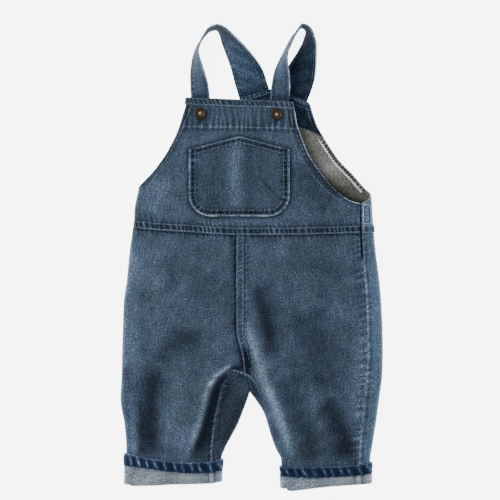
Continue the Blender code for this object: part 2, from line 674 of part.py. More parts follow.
def cuff(leg, collection):
    """A leg's turned-up end: the wrong side of the cloth, and the hem's band above it."""
    wall_out = CUFF_RISE
    turn = wall_out / 2
    rows = [share_out(leg_ring(leg, cuff_line(leg, 2, -HEM_HALF), wall_out), CUFF_COLUMNS)]
    rows.append(share_out(leg_ring(leg, cuff_line(leg, 3, CUFF_TURN), wall_out), CUFF_COLUMNS))
    for step in range(5):
        angle = math.pi * step / 4
        rise = CUFF_END - CUFF_END_GAP - turn * math.sin(angle)
        line = leg_ring(leg, cuff_line(leg, 3, rise), turn + turn * math.cos(angle))
        rows.append(share_out(line, CUFF_COLUMNS))
    cloth("cuff_" + leg, rows[::-1], DENIM, "wrong_side", collection, ring=True)
    band_out = DENIM / 2 + CUFF_GAP + BAND_THICKNESS / 2
    rows = []
    for share in (0.0, 0.5, 1.0):
        low, high = cuff_line(leg, 2, HEM_HALF), cuff_line(leg, 1)

        def between(x, upper=True, part=share):
            return low(x, upper) + (high(x, upper) - low(x, upper)) * part
        rows.append(share_out(leg_ring(leg, between, band_out), CUFF_COLUMNS))
    cloth("hem_" + leg, rows, BAND_THICKNESS, "navy", collection, ring=True)


def strap(name, stations, first_way, collection):
    """A band of cloth over a shoulder: flat at the back, on its edge at the top of its loop."""
    rows = []
    for i, (x, y, width, roll, foot) in enumerate(stations):
        before, after = stations[max(i - 1, 0)], stations[min(i + 1, len(stations) - 1)]
        way = Vector((after[0] - before[0], after[1] - before[1], 0.0)).normalized()
        if i == 0:
            way = Vector(first_way)
        inside = Vector((-way.y, way.x, 0.0))
        angle = math.radians(roll)
        normal = Vector((0.0, 0.0, math.cos(angle))) + inside * math.sin(angle)
        half_height = width / 2 * math.sin(angle) + STRAP_THICKNESS / 2 * abs(math.cos(angle))
        if foot is None:
            lowest = min(over_height(x + width * share, y) for share in (-0.5, 0.0, 0.5))
            middle = lowest - DENIM / 2 - OVERLAY_GAP - half_height
        else:
            middle = foot + half_height
        across = way.cross(normal)
        centre = Vector((x, y, middle))
        rows.append([centre + across * (width * (k / STRAP_COLUMNS - 0.5)) for k in range(STRAP_COLUMNS + 1)])
    return cloth(name, rows, STRAP_THICKNESS, "denim", collection)


def bib_pocket(collection):
    """The patch pocket on the bib: a peaked top and round lower corners."""
    heights = [0.0, 2.5, 7.5, 15.0, POCKET_CORNER, 39.0, 51.0, 63.0, 74.0, POCKET_SHOULDER - POCKET_FOOT]
    out = DENIM + OVERLAY_GAP
    rows = []
    for height in heights:
        drop = max(POCKET_CORNER - height, 0.0)
        inset = POCKET_CORNER - math.sqrt(POCKET_CORNER ** 2 - drop ** 2)
        share = height / heights[-1]
        row = []
        for i in range(POCKET_COLUMNS + 1):
            t = i / POCKET_COLUMNS
            x = POCKET_LEFT + inset + (POCKET_RIGHT - POCKET_LEFT - 2 * inset) * t
            peak = (POCKET_PEAK - POCKET_SHOULDER) * share * share * (1.0 - abs(2.0 * t - 1.0))
            row.append(over(x, POCKET_FOOT + height + peak, out))
        rows.append(row)
    return cloth("bib_pocket", rows, DENIM, "denim", collection)


def on_row(row, x, out):
    """A point over a panel's row of points, at an x of the upper layer."""
    for first, last in zip(row, row[1:]):
        if min(first.x, last.x) <= x <= max(first.x, last.x) and first.z > UPPER_Z:
            return first.lerp(last, (x - first.x) / (last.x - first.x)) + Vector((0.0, 0.0, out))
    nearest = min((point for point in row if point.z > UPPER_Z), key=lambda point: abs(point.x - x))
    return nearest + Vector((x - nearest.x, 0.0, out))


def felled_seams(collection, left_rows, right_rows):
    """The felled seams that stand up on the front: the waist's, the rise's, and the back's end."""
    out = DENIM / 2 + OVERLAY_GAP + SEAM_STRIP / 2
    half = SEAM_WIDTH / 2
    rows = []
    for rise in (-half, 0.0, half):
        level = waist_line(WAIST_LEVEL)

        def line_y(x, upper=True, shift=rise):
            return level(x, upper) + shift
        line = sweep("left", line_y, WAIST_SEAM_START, 0.0, out)
        end_y = line_y(138.0)
        end = (side_seam("right", end_y, "front") - SEAM_GAP, end_y)
        start_x = line[-1][0].x
        for i in range(WAIST_STEPS + 1):
            x = start_x + (end[0] - start_x) * i / WAIST_STEPS
            line.append((over(x, line_y(x), out), 1.0))
        rows.append(share_out(line, WAIST_COLUMNS))
    cloth("waist_seam_front", rows, SEAM_STRIP, "denim", collection)
    rows = []
    for rise in (-half, 0.0, half):
        def line_y(x, upper=True, shift=rise):
            return level(x, upper) + shift
        seam_y = line_y(140.0)
        edge_y = line_y(fold_edge("right", WAIST_LEVEL)[0])
        start = reach_over("right", side_seam("right", seam_y, "back") + SEAM_GAP, edge_y)
        rows.append(share_out(sweep("right", line_y, start, WAIST_SEAM_END, out), HIP_COLUMNS))
    cloth("waist_seam_back", rows, SEAM_STRIP, "denim_back", collection)
    rows = []
    out += RISE_CLEARANCE
    for level, left_row, right_row in zip(FRONT_LEVELS, left_rows, right_rows):
        if level < TIP_Y:
            break
        narrow = 1.0 - RISE_TAPER * ease((-112.0 - level) / 34.0)
        middle = curve(FRONT_RISE, level)
        row = [on_row(left_row, middle - half * narrow, out), on_row(left_row, middle - 0.5, out),
               on_row(right_row, middle + half * narrow, out)]
        rows.append(row)
    top = waist_line(WAIST_LEVEL)(-14.0) - half - SEAM_GAP
    first, second = rows[0], rows[1]
    share = (first[1].y - top) / (first[1].y - second[1].y)
    rows[0] = [high.lerp(low, share) for high, low in zip(first, second)]
    cloth("rise_seam_front", rows[::-1], SEAM_STRIP, "denim", collection)


def bib_top_hem(collection):
    """The turned hem along the top of the bib."""
    out = DENIM / 2 + OVERLAY_GAP + SEAM_STRIP / 2
    (_, left_y, middle_y, right_x, right_y), (_, low_left_y, _, low_right_x, low_right_y) = BIB[-1], BIB[-2]
    left_x = around("left", left_y, BIB[-1][0]).x
    low_left_x = around("left", low_left_y, BIB[-2][0]).x
    rows = []
    for down in (HEM_DEPTH, HEM_DEPTH / 2, SEAM_GAP):
        share_left, share_right = down / (left_y - low_left_y), down / (right_y - low_right_y)
        start = left_x + (low_left_x - left_x) * share_left + SEAM_GAP
        end = right_x + (low_right_x - right_x) * share_right - SEAM_GAP
        row = []
        for i in range(TOP_HEM_STEPS + 1):
            t = i / TOP_HEM_STEPS
            row.append(over(start + (end - start) * t, bow(left_y, middle_y, right_y, t) - down, out))
        rows.append(row)
    return cloth("bib_top_hem", rows, SEAM_STRIP, "denim", collection)


def back_edge(row, inset):
    """The two ends of a row of the back bodice, moved in from its edges."""
    left_x, left_y, _, reach, right_y, _ = row
    return (left_x + inset, left_y), (around("right", right_y, reach).x - inset, right_y)


def back_linings(collection):
    """What shows inside the back: the facing below its top edge and the armholes' hems."""
    height = DENIM + SEAM_GAP + SEAM_STRIP / 2
    rows = []
    for row in BACK[-4:]:
        (left_x, left_y), (right_x, right_y) = back_edge(row, FACING_INSET)
        middle_y, roundness = row[2], row[5]
        if row is BACK[-1]:
            left_y, middle_y, right_y = left_y - 1.0, middle_y - 1.0, right_y - 1.0
        line = []
        for i in range(FACING_STEPS + 1):
            t = i / FACING_STEPS
            y = bow(left_y, middle_y, right_y, t, roundness)
            line.append(Vector((left_x + (right_x - left_x) * t, y, height)))
        rows.append(line)
    cloth("back_facing", rows, SEAM_STRIP, "navy", collection)
    for name, end, way in (("armhole_hem_left", 0, 1.0), ("armhole_hem_right", 1, -1.0)):
        rows = []
        for row in BACK[HEM_FIRST:HEM_LAST + 1]:
            x, y = back_edge(row, 0.0)[end]
            lift = HEM_TUCK if row is BACK[HEM_LAST] else 0.0
            slant = Vector((way * 0.75, 0.45, 0.0))
            first = Vector((x, y + lift, height)) + slant * 0.8
            rows.append([first, first + slant * HEM_DEPTH])
        if way < 0.0:
            rows = [row[::-1] for row in rows]
        cloth(name, rows, SEAM_STRIP, "wrong_side", collection)


def button(name, x, y, collection):
    """A shank button: a rolled rim round a dished middle."""
    radius = BUTTON_DIAMETER / 2
    profile = [(0.0, 1.5), (0.55 * radius, 1.3), (0.68 * radius, 1.9), (0.84 * radius, 2.4),
               (0.97 * radius, 1.8), (radius, 0.7), (0.93 * radius, 0.0), (0.0, 0.0)]
    mesh = bpy.data.meshes.new(name)
    mesh.from_pydata([(r * MM, 0.0, z * MM) for r, z in profile],
                     [(i, i + 1) for i in range(len(profile) - 1)], [])
    piece = bpy.data.objects.new(name, mesh)
    collection.objects.link(piece)
    turn = piece.modifiers.new("Turn", "SCREW")
    turn.steps = turn.render_steps = BUTTON_STEPS
    turn.use_merge_vertices = True
    turn.merge_threshold = 0.00001
    piece.location = (over(x, y, DENIM / 2 + BUTTON_REST) - BOX_CENTRE) * MM
    finish(piece, "button")


def build():
    """Clear the scene and make every piece."""
    for item in list(bpy.data.objects):
        bpy.data.objects.remove(item, do_unlink=True)
    collection = bpy.data.collections.new("denim_overalls")
    bpy.context.scene.collection.children.link(collection)
    front_bib(collection)
    back_bodice(collection)
    front_rows = {}
    for leg in ("left", "right"):
        front_rows[leg] = front_leg(leg, collection)
        back_leg(leg, collection)
        cuff(leg, collection)
    strap("strap_left", LEFT_STRAP, (-0.298, 0.954, 0.0), collection)
    strap("strap_right", RIGHT_STRAP, (0.378, 0.926, 0.0), collection)
    bib_pocket(collection)
    felled_seams(collection, front_rows["left"], front_rows["right"])
    bib_top_hem(collection)
    back_linings(collection)
    for name, x, y in BUTTONS:
        button(name, x, y, collection)


build()
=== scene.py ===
"""A toddler's denim overalls, laid out flat on their back: the cloth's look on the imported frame.

Each panel of cloth is a grid shaped by rows of points.  A row is a line of cloth at one
level of the garment, and "reach" is cloth measured in from the top of a side fold:
negative reach goes round the fold and then under.  Sizes are millimetres until a mesh is made.
"""

import math

import bpy
import numpy as np
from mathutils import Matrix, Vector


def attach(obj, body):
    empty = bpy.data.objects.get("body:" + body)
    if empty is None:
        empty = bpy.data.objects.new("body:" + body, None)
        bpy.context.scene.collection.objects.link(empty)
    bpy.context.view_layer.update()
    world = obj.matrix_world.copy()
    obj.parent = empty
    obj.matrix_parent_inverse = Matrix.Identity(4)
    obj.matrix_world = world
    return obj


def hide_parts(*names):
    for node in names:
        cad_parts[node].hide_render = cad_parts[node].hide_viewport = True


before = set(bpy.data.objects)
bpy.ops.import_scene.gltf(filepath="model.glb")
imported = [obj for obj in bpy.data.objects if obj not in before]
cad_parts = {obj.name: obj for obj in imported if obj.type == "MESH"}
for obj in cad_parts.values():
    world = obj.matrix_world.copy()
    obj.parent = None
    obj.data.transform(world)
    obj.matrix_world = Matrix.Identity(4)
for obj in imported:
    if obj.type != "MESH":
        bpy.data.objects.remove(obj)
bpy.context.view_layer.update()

MM = 0.001
BOX_CENTRE = np.array([0.2, 0.0, 0.0])

# Driving sizes
DENIM = 1.4
BAND = 2.2                  # the hem's three layers
STRAP = 2.4                 # two layers turned and pressed
STRIP = 1.0                 # a felled seam, hem or facing on its panel
SEAM_WIDTH = 9.2
SEAM_HALF = 0.03            # from a seam's line to the cloth on each side of it
OVERLAY_GAP = 0.45          # from a panel to what is sewn on it
CUFF_GAP = 0.7              # from a leg to its hem band
CUFF_RISE = CUFF_GAP + BAND
SIDE_OPENING = 1.8          # the slit above the right hip
CROTCH_Y = -171.0           # where the folds between the legs meet
TIP_Y = -149.0              # where the centre seam meets the inseams
WAIST_LEVEL = 36.0
WAIST_FADE = 70.0           # how far from the waist cloth still droops as the waist does
LEG_TOP = 35.8
LEG_LEVELS_END = -272.0     # below this the lines across a leg bend to its cuff
CREASE_REACH = 18.0         # how far from a fold creases reach their full height
FAR = 120.0                 # farther from the folds between the legs nothing changes
PACE = 1.8                  # between the rows of a fine mesh
CELL = 1.8                  # between its columns
UNDER_WEIGHT = 0.4          # how fine the cloth that lies on the table is, where a flat top has 1
FOLD_WEIGHT = 1.5           # how fine a fold is
INSIDE_LEVEL = DENIM + 0.3 + STRIP / 2      # the middle of strips inside the back

# Folds at the sides of the laid-out garment: y, outer left, outer right, fold radius
OUTER_FOLDS = [
    (204, -142, 151, 4.5), (120, -142, 151, 5.2), (93, -142.5, 151, 5.6), (79, -145, 152, 5.8),
    (64, -148, 153, 6.0), (48, -149, 154, 6.0), (33, -151, 155, 6.2), (3, -155, 158, 6.6),
    (-28, -158, 162, 7.0), (-58, -162, 164.5, 7.0), (-89, -163, 166, 7.0), (-119, -164, 166.5, 7.0),
    (-150, -164.5, 165.5, 7.0), (-178, -166, 162, 7.0), (-211, -161, 157.5, 6.6),
    (-241, -158.5, 152.5, 6.0), (-259, -158.5, 150, 5.6), (-296, -159, 150, 5.4)]

# Folds between the legs: y, inner edge of the left leg, inner edge of the right leg
INNER_FOLDS = [
    (-171, -3.1, -0.9), (-180, -6, 6), (-196, -12, 16), (-211, -18, 21), (-226, -26, 25.5),
    (-241, -34, 31), (-256, -39, 38), (-296, -41, 40)]

# Seam lines: y, x.  The side seams' second column is on the underside, their third on top
FRONT_RISE = [(40, -14.3), (-91, -14.3), (-103, -12), (-115, -9), (-130, -6.5), (-149, -6)]
BACK_RISE = [(-171, -2), (-150, 2), (-120, 8), (-60, 16), (0, 24), (36, 27)]
LEFT_INSEAM = [(-149, -6), (-154, -31), (-161, -36), (-173, -39), (-190, -43), (-211, -47),
               (-229, -49), (-245, -50), (-296, -51)]
RIGHT_INSEAM = [(-149, -6), (-154, -1), (-161, 4), (-171, 9.5), (-182, 14.5)]
RIGHT_INSEAM_TURN = [(-182, 0.8), (-196, -6), (-211, -13), (-229, -18), (-246, -20), (-296, -20)]
CROTCH_SEAM = [(-171, -2), (-160, -4.2), (-149, -6)]
SIDE_SEAMS = [
    (70, -119, 139), (44, -120, 138.5), (9, -124, 140), (-23, -128, 143), (-72, -132, 146),
    (-121, -134, 147), (-154, -136, 145), (-177, -136, 143), (-210, -131, 140),
    (-241, -128, 136.5), (-296, -128, 136)]

# How far the waist seam runs above its level: x, rise on the upper side
WAIST_DROOP = [(-155, 7.5), (-120, 4.2), (-79, 1.5), (-14, -2), (60, -1.6), (137, 0.6), (158, 1)]

# The lift of the front over the fold height: y, height, how far in from a fold it grows
LIFT = [(204, 1.5, 90), (170, 2.5, 90), (120, 3.5, 85), (60, 5, 75), (20, 6.5, 62), (-60, 8.5, 50),
        (-140, 8, 44), (-200, 6.5, 42), (-245, 3.5, 40), (-296, 2.5, 40)]

# Large folds of the front: height, half width, then x, y along the crest or the trough
CREASES = [
    (4.0, 12, [(-30, -136), (-46, -147), (-59, -167), (-67, -200), (-80, -238), (-86, -268)]),
    (-4.0, 12, [(-30, -164), (-43, -180), (-52, -210), (-62, -250)]),
    (-6.0, 15, [(-56, -84), (-92, -108), (-122, -149), (-127, -193), (-124, -250)]),
    (4.0, 17, [(-98, -128), (-92, -165), (-92, -205), (-101, -248)]),
    (2.5, 10, [(-146, -180), (-148, -212), (-149, -252)]),
    (-5.5, 12, [(13, -36), (20, -78), (28, -122)]),
    (5.0, 13, [(0, -58), (1, -91), (9, -128), (20, -161), (33, -193), (44, -225), (53, -256)]),
    (-4.0, 10, [(-10, -112), (-6, -128), (-5, -145)]),
    (-4.5, 14, [(96, -150), (110, -196), (121, -226), (126, -262)]),
    (3.5, 16, [(84, -60), (88, -118), (84, -180), (88, -250)]),
    (-3.0, 12, [(58, -110), (62, -160), (68, -215)]),
    (2.5, 14, [(-122, 10), (-110, -40), (-84, -70)]),
    (-2.5, 12, [(-60, 22), (-72, -20), (-64, -60)]),
    (-2.5, 12, [(64, 20), (58, -20), (40, -52)]),
    (2.5, 13, [(118, 24), (112, -24), (96, -70)]),
    (1.6, 13, [(112, 62), (88, 78), (74, 96)]),
    (1.6, 13, [(-118, 56), (-104, 84), (-98, 112)])]

# Smaller creases that only the fine cloth has, in the same columns
FINE_CREASES = [
    (2.8, 3.8, [(-21, -133), (-32, -138), (-45, -148), (-55, -166), (-61, -190), (-70, -222), (-80, -246)]),
    (-3.0, 4.5, [(-24, -142), (-35, -150), (-46, -166), (-53, -192), (-62, -226), (-72, -250)]),
    (-1.2, 5, [(-36, -92), (-62, -104), (-84, -124)]),
    (0.9, 5, [(-44, -74), (-70, -86), (-98, -112)]),
    (1.2, 6, [(-118, -158), (-116, -200), (-112, -246)]),
    (-1.0, 5, [(-138, -150), (-140, -190), (-138, -240)]),
    (0.8, 4, [(-106, -182), (-103, -214), (-108, -252)]),
    (-1.4, 5, [(17, -50), (21, -84), (26, -112), (30, -124)]),
    (1.5, 5, [(-2, -76), (-1, -98), (6, -124), (16, -150), (27, -178), (38, -208), (47, -238), (53, -258)]),
    (-1.3, 5, [(18, -134), (30, -164), (42, -196), (52, -228)]),
    (0.9, 5, [(74, -140), (80, -182), (92, -226)]),
    (-1.2, 6, [(116, -206), (124, -232), (129, -256)]),
    (1.0, 5, [(134, -216), (135, -240), (134, -260)]),
    (-0.8, 5, [(44, -30), (52, -58), (66, -92)]),
    (0.7, 6, [(102, -30), (106, -66), (102, -104)]),
    (-0.8, 5, [(122, -60), (124, -104), (120, -148)]),
    (-0.7, 6, [(-96, -10), (-100, -44), (-92, -78)]),
    (0.8, 6, [(-34, -10), (-40, -46), (-52, -70)]),
    (-0.7, 5, [(-136, -40), (-138, -84), (-134, -126)]),
    (0.6, 7, [(-22, 140), (-24, 100), (-22, 70)]),
    (-0.5, 6, [(70, 130), (84, 100), (104, 76)]),
    (-0.5, 6, [(-100, 132), (-112, 104), (-122, 84)])]

# Where wear has faded the blue, and where shade and highlight are painted: the dark lines are mostly painted
# shade in hollows and on cloth that faces away from the light, the pale lines on ridges partly wear and
# partly painted highlight.  Columns: strength, how far it reaches to the left and to the right of a line seen
# from its start, and x, y along the line
FADES_AND_SHADES = [
    (0.06, 17, 17, [(-100, -112), (-92, -150), (-90, -190), (-98, -246)]),
    (0.16, 7, 5, [(-22, -134), (-44, -147), (-55, -166), (-62, -196), (-74, -232), (-84, -252)]),
    (-0.44, 19, 3.4, [(-27, -143), (-42, -156), (-52, -180), (-60, -212), (-70, -240), (-76, -256)]),
    (-0.22, 12, 9, [(-12, -176), (-22, -204), (-34, -240)]),
    (0.40, 1.6, 1.6, [(-29, -152), (-36, -164), (-42, -190), (-46, -214), (-50, -240)]),
    (-0.60, 4, 4, [(-27, -140), (-19, -139), (-14, -142)]),
    (0.42, 1.8, 1.6, [(-22, -133.5), (-32, -138.5), (-45, -148.5), (-55, -163)]),
    (-0.46, 15, 13, [(-116, -136), (-125, -164), (-129, -204), (-126, -256)]),
    (-0.20, 18, 14, [(-66, -92), (-92, -108), (-116, -134)]),
    (0.24, 6, 6, [(-150, -196), (-149, -226), (-147, -256)]),
    (-0.20, 7, 7, [(-142, -206), (-141, -250)]),
    (0.30, 10, 8, [(-6, -70), (-2, -98), (6, -126), (17, -156), (30, -186), (42, -218), (52, -256)]),
    (-0.32, 15, 9, [(2, -30), (12, -56), (18, -80), (23, -104), (29, -128)]),
    (-0.18, 14, 12, [(34, -146), (48, -182), (60, -214)]),
    (-0.62, 5, 4, [(-9, -112), (-6, -128), (-4, -144)]),
    (-0.42, 15, 14, [(92, -176), (104, -208), (116, -236), (122, -258)]),
    (-0.28, 16, 14, [(60, -206), (72, -236), (80, -258)]),
    (0.14, 9, 9, [(134, -60), (137, -120), (134, -170), (130, -220)]),
    (-0.27, 26, 24, [(60, -66), (84, -110), (84, -170)]),
    (-0.12, 26, 22, [(80, 26), (100, -20), (104, -60)]),
    (0.02, 24, 20, [(46, -10), (52, -44), (56, -90)]),
    (-0.10, 26, 26, [(-50, -20), (-60, -64)]),
    (0.20, 13, 16, [(-146, 30), (-152, -40), (-156, -100), (-158, -150)]),
    (0.16, 26, 22, [(-112, 108), (-124, 72), (-130, 52)]),
    (-0.24, 26, 20, [(66, 128), (80, 96), (108, 66)]),
    (0.10, 6, 8, [(-76, 48), (-20, 46), (44, 47)])]

# What the underside shows: soft hollows and worn places, in the same columns as the folds
UNDER_CREASES = [
    (1.1, 7, [(-30, -150), (-60, -128), (-92, -96), (-120, -70)]),
    (1.3, 6, [(24, -140), (52, -122), (84, -104), (112, -70)]),
    (0.9, 8, [(-96, -160), (-110, -200), (-104, -240)]),
    (1.0, 7, [(104, -150), (92, -196), (98, -240)]),
    (0.8, 9, [(-60, -10), (-78, -44), (-72, -84)]),
    (0.9, 8, [(66, 14), (90, -26), (84, -60)]),
    (0.8, 9, [(-48, 128), (-40, 92), (-56, 60)]),
    (0.7, 9, [(40, 150), (54, 110), (48, 70)])]
UNDER_FADES = [
    (0.18, 34, 34, [(-70, -30), (-74, -84)]),
    (0.17, 34, 34, [(84, -26), (86, -80)]),
    (-0.22, 12, 12, [(-30, -150), (-60, -128), (-92, -96)]),
    (-0.24, 12, 12, [(24, -140), (52, -122), (84, -104)]),
    (0.16, 20, 20, [(-90, -150), (-98, -230)]),
    (0.14, 20, 20, [(94, -150), (92, -230)]),
    (-0.16, 26, 26, [(-60, 20), (80, 20)]),
    (0.16, 30, 30, [(20, 60), (24, 150)])]

# Turned-up cuffs: x, top of the hem band, foot of the band, foot of the cuff
BAND_TOP, BAND_FOOT, CUFF_FOOT = 1, 2, 3
CUFF_SEAM_X = {"left": -50.5, "right": 135.5}       # the seam that shows as a ridge under each cuff
LEFT_CUFF = [
    (-162, -247, -263, -287), (-150, -249.5, -264.5, -289), (-127, -254, -267.5, -288.5),
    (-101, -257, -270.5, -287), (-74, -258.5, -272.5, -286.5), (-53, -258, -272.5, -286),
    (-38, -255, -270, -284)]
RIGHT_CUFF = [
    (36, -263.5, -276.5, -291), (50, -265, -278, -295.5), (64, -265, -278, -294), (84, -264, -278, -291.2),
    (108, -263.5, -277, -289), (134, -262, -276, -287.5), (150, -259, -274, -286.5)]

# The bib: reach of the left end, its y, middle y, right end x and y.  None is a side seam
BIB = [
    (None, 36, 36, None, 36), (None, 52, 52, None, 53), (None, 66, 69, None, 68.5),
    (-33.0, 70, 79, 131, 70.3), (-26.0, 73.5, 86, 125, 72.6), (-20.0, 77.5, 92.5, 119.5, 75.6),
    (-15.5, 81, 97.5, 115.5, 78.2), (-11.5, 84.8, 102, 111.5, 81.5), (-7.5, 88.8, 106.5, 108, 84.6),
    (-3.5, 93, 111.2, 103.8, 88.6), (0.5, 97.5, 116.5, 99.5, 93), (5.0, 102.3, 122.5, 94.8, 98.8),
    (9.5, 107, 129, 90, 105), (25.5, 128, 145, 78, 121.5), (34.5, 143, 158, 70, 136.5),
    (41.5, 157, 170, 64, 152), (47.0, 172, 181, 58.5, 168), (52.0, 188, 191, 55.5, 183),
    (56.5, 204, 201.2, 53, 198)]

# The back bodice: left end x and y, middle y, reach of the right end, its y, roundness of the
# middle.  None is a side seam
BACK = [
    (None, 36, 36, None, 36, 2), (None, 52, 54, None, 53, 2), (None, 66, 71, None, 68.5, 2),
    (-112, 69, 81, 2, 72, 2), (-106, 72.3, 87, -2, 74.2, 2), (-100, 76.2, 93, -6, 77.2, 2),
    (-94.5, 80.3, 98.5, -10, 80.4, 2), (-89, 84.6, 104, -14, 83.8, 2), (-83, 90.2, 110, -18, 88, 2),
    (-76, 96.8, 118, -24, 95, 2), (-63, 109, 133, -34, 107, 2), (-50, 124, 147, -50, 124, 2),
    (-38, 140, 160, -61, 140, 2), (-29, 155, 173, -70, 155, 2), (-22.5, 170, 186, -78, 170, 1.8),
    (-18.5, 186, 200, -82.5, 184, 1.4), (-16, 201.5, 215.4, -86, 196, 1)]

# Straps from the back to the button: x, y, width, roll in degrees, height of the lower edge.
# None lies under the bib, as near to it as it goes
LEFT_STRAP = [
    (3.8, 208.3, 40, 0, 0.3), (0.5, 219, 40, 2, 0.3), (-3, 230, 40, 10, 0.3), (-8, 241, 39, 26, 0.3),
    (-14, 252, 38, 39, 0.3), (-21.5, 264, 37, 51, 0.3), (-29.5, 276, 35, 62, 0.3),
    (-36.5, 286.5, 34, 75, 0.3), (-44.5, 292, 33, 86, 0.3), (-53, 289.5, 33, 90, 0.3),
    (-60, 281.5, 32, 93, 0.3), (-66, 272, 31, 96, 0.3), (-69.5, 263, 30, 99, 0.3),
    (-70.5, 254.5, 29, 107, 0.3), (-70, 246, 28, 117, 0.3), (-69, 237, 27, 129, 0.3),
    (-67.5, 227, 26, 142, 0.3), (-66, 216, 25, 157, 1.2), (-65.2, 206, 24, 170, 3.0),
    (-65, 194, 24, 178, None), (-65, 184, 24, 180, None), (-65, 171, 24, 180, None)]
RIGHT_STRAP = [
    (52.2, 206.4, 40, 0, 0.3), (56.6, 217.5, 40, 2, 0.3), (61, 229, 39, 9, 0.3), (64.5, 240, 38, 24, 0.3),
    (68, 251, 37, 40, 0.3), (71, 262, 36, 53, 0.3), (73, 272, 35, 63, 0.3),
    (73, 282, 34, 74, 0.3), (70.5, 290.5, 33, 85, 0.3), (64, 294, 33, 90, 0.3),
    (57.5, 287, 32, 93, 0.3), (52, 279, 31, 96, 0.3), (47.8, 270.5, 30, 98, 0.3),
    (44, 262, 30, 99, 0.3), (41, 253.5, 29, 106, 0.4), (39.3, 245, 28, 117, 0.8), (38.3, 236, 27, 131, 1.6),
    (37.6, 226, 26, 144, 2.6), (37, 215, 25, 159, 3.3), (36, 205, 24, 172, 4.0),
    (34, 194, 24, 178, None), (33, 184, 24, 180, None), (32, 171, 24, 180, None)]

# The pocket: sides, foot, shoulders, peak and corner radius
POCKET_LEFT, POCKET_RIGHT = -79.0, 48.0
POCKET_FOOT, POCKET_SHOULDER, POCKET_PEAK = 53.0, 137.0, 154.0
POCKET_CORNER = 27.0
POCKET_MIDDLE = (POCKET_LEFT + POCKET_RIGHT) / 2
POCKET_HALF = (POCKET_RIGHT - POCKET_LEFT) / 2
POCKET_RISE = POCKET_SHOULDER - POCKET_FOOT
POCKET_POINT = POCKET_PEAK - POCKET_SHOULDER
POCKET_TOP = [(POCKET_LEFT - 1, POCKET_SHOULDER + 2), (POCKET_MIDDLE, POCKET_PEAK + 2),
              (POCKET_RIGHT + 1, POCKET_SHOULDER + 2)]

BUTTONS = [("button_left", -65.0, 183.5), ("button_right", 32.0, 182.0)]

# Rows of the back legs at the crotch: y of the inner end, y at the fold between the legs, y at the
# side.  Above them the seat's rows: y of the inner end, y at the side
CROTCH_ROWS = [(-190, -190, -190), (-180, -184, -182), (-170, -179, -174), (-161, -176, -166),
               (-154, -174, -158), (-149, -172.6, -150), (-160, -171.8, -142), (-171, -171.2, -134)]
SEAT_ROWS = [(-163, -126), (-148, -115), (-130, -102), (-108, -86), (-82, -66), (-54, -44),
             (-26, -20), (5, 6), (LEG_TOP, LEG_TOP)]


# Reading the tables

TABLES = {}                 # columns that have been sorted already


def running(steps):
    """The length up to each point, from the steps between the points."""
    return np.concatenate([[0.0], np.cumsum(steps)])


def unit(vectors):
    """Vectors made one long."""
    return vectors / np.maximum(np.linalg.norm(vectors, axis=-1, keepdims=True), 1e-9)


def smooth(marks, values, at):
    """A curve through values at rising marks that never overshoots them."""
    steps = np.diff(values) / np.diff(marks)
    before, behind = steps[:-1], steps[1:]
    same = before * behind > 0.0
    total = np.where(same, before + behind, 1.0)
    inner = np.where(same, 2.0 * before * behind / total, 0.0)
    slopes = np.concatenate([steps[:1], inner, steps[-1:]])
    at = np.clip(at, marks[0], marks[-1])
    i = np.clip(np.searchsorted(marks, at, side="right") - 1, 0, len(marks) - 2)
    span = marks[i + 1] - marks[i]
    t = (at - marks[i]) / span
    t2, t3 = t * t, t * t * t
    return ((2 * t3 - 3 * t2 + 1) * values[i] + (t3 - 2 * t2 + t) * span * slopes[i]
            + (3 * t2 - 2 * t3) * values[i + 1] + (t3 - t2) * span * slopes[i + 1])


def curve(table, at, column=1):
    """Read a smooth curve through a table's rows at values of its first column."""
    key = (id(table), column)
    if key not in TABLES:
        rows = sorted((row[0], row[column]) for row in table)
        TABLES[key] = np.array(rows, dtype=float).T
    return smooth(*TABLES[key], at)


def rows_between(rows, pace=PACE):
    """A table's rows with smooth ones put between them, so that none is far from the next."""
    table = np.array(rows, dtype=float)
    gaps = np.maximum(np.abs(np.diff(table, axis=0)).max(axis=1), 0.01)
    marks = running(gaps)
    at = np.linspace(0.0, marks[-1], int(marks[-1] / pace) + 2)
    return np.stack([smooth(marks, column, at) for column in table.T], axis=1)


def ease(value):
    """Go smoothly from 0 to 1 as the value does."""
    value = np.clip(value, 0.0, 1.0)
    return value * value * (3.0 - 2.0 * value)


def path_field(x, y, points):
    """Distance to a line of points, which side of it, and how far along it in millimetres."""
    nearest, place, side = np.full(np.shape(x), 1e3), np.zeros(np.shape(x)), np.ones(np.shape(x))
    start_length = 0.0
    for (ax, ay), (bx, by) in zip(points, points[1:]):
        dx, dy = bx - ax, by - ay
        length = max(math.hypot(dx, dy), 1e-6)
        along = np.clip(((x - ax) * dx + (y - ay) * dy) / (length * length), 0.0, 1.0)
        gap = np.hypot(x - ax - along * dx, y - ay - along * dy)
        closer = gap < nearest
        turn = dx * (y - ay) - dy * (x - ax)
        nearest = np.where(closer, gap, nearest)
        place = np.where(closer, start_length + along * length, place)
        side = np.where(closer, np.sign(turn), side)
        start_length += length
    return nearest, side, place, start_length


def line_distance(x, y, points):
    """The plain distance to a line of points."""
    return path_field(x, y, points)[0]


def beside(track, offset):
    """Points of the plan to the left of each point of a line: a row of them at each."""
    way = unit(np.gradient(track[:, :2], axis=0))
    return track[:, 0:1] - way[:, 1:2] * offset, track[:, 1:2] + way[:, 0:1] * offset


def smooth_track(points, more=0):
    """A smooth line through points of the plan, about a point a millimetre, and the length at each."""
    table = np.array(points, dtype=float)
    marks = running(np.hypot(*np.diff(table, axis=0).T))
    at = np.linspace(0.0, marks[-1], int(marks[-1]) + more)
    return np.stack([smooth(marks, column, at) for column in table.T], axis=1), at


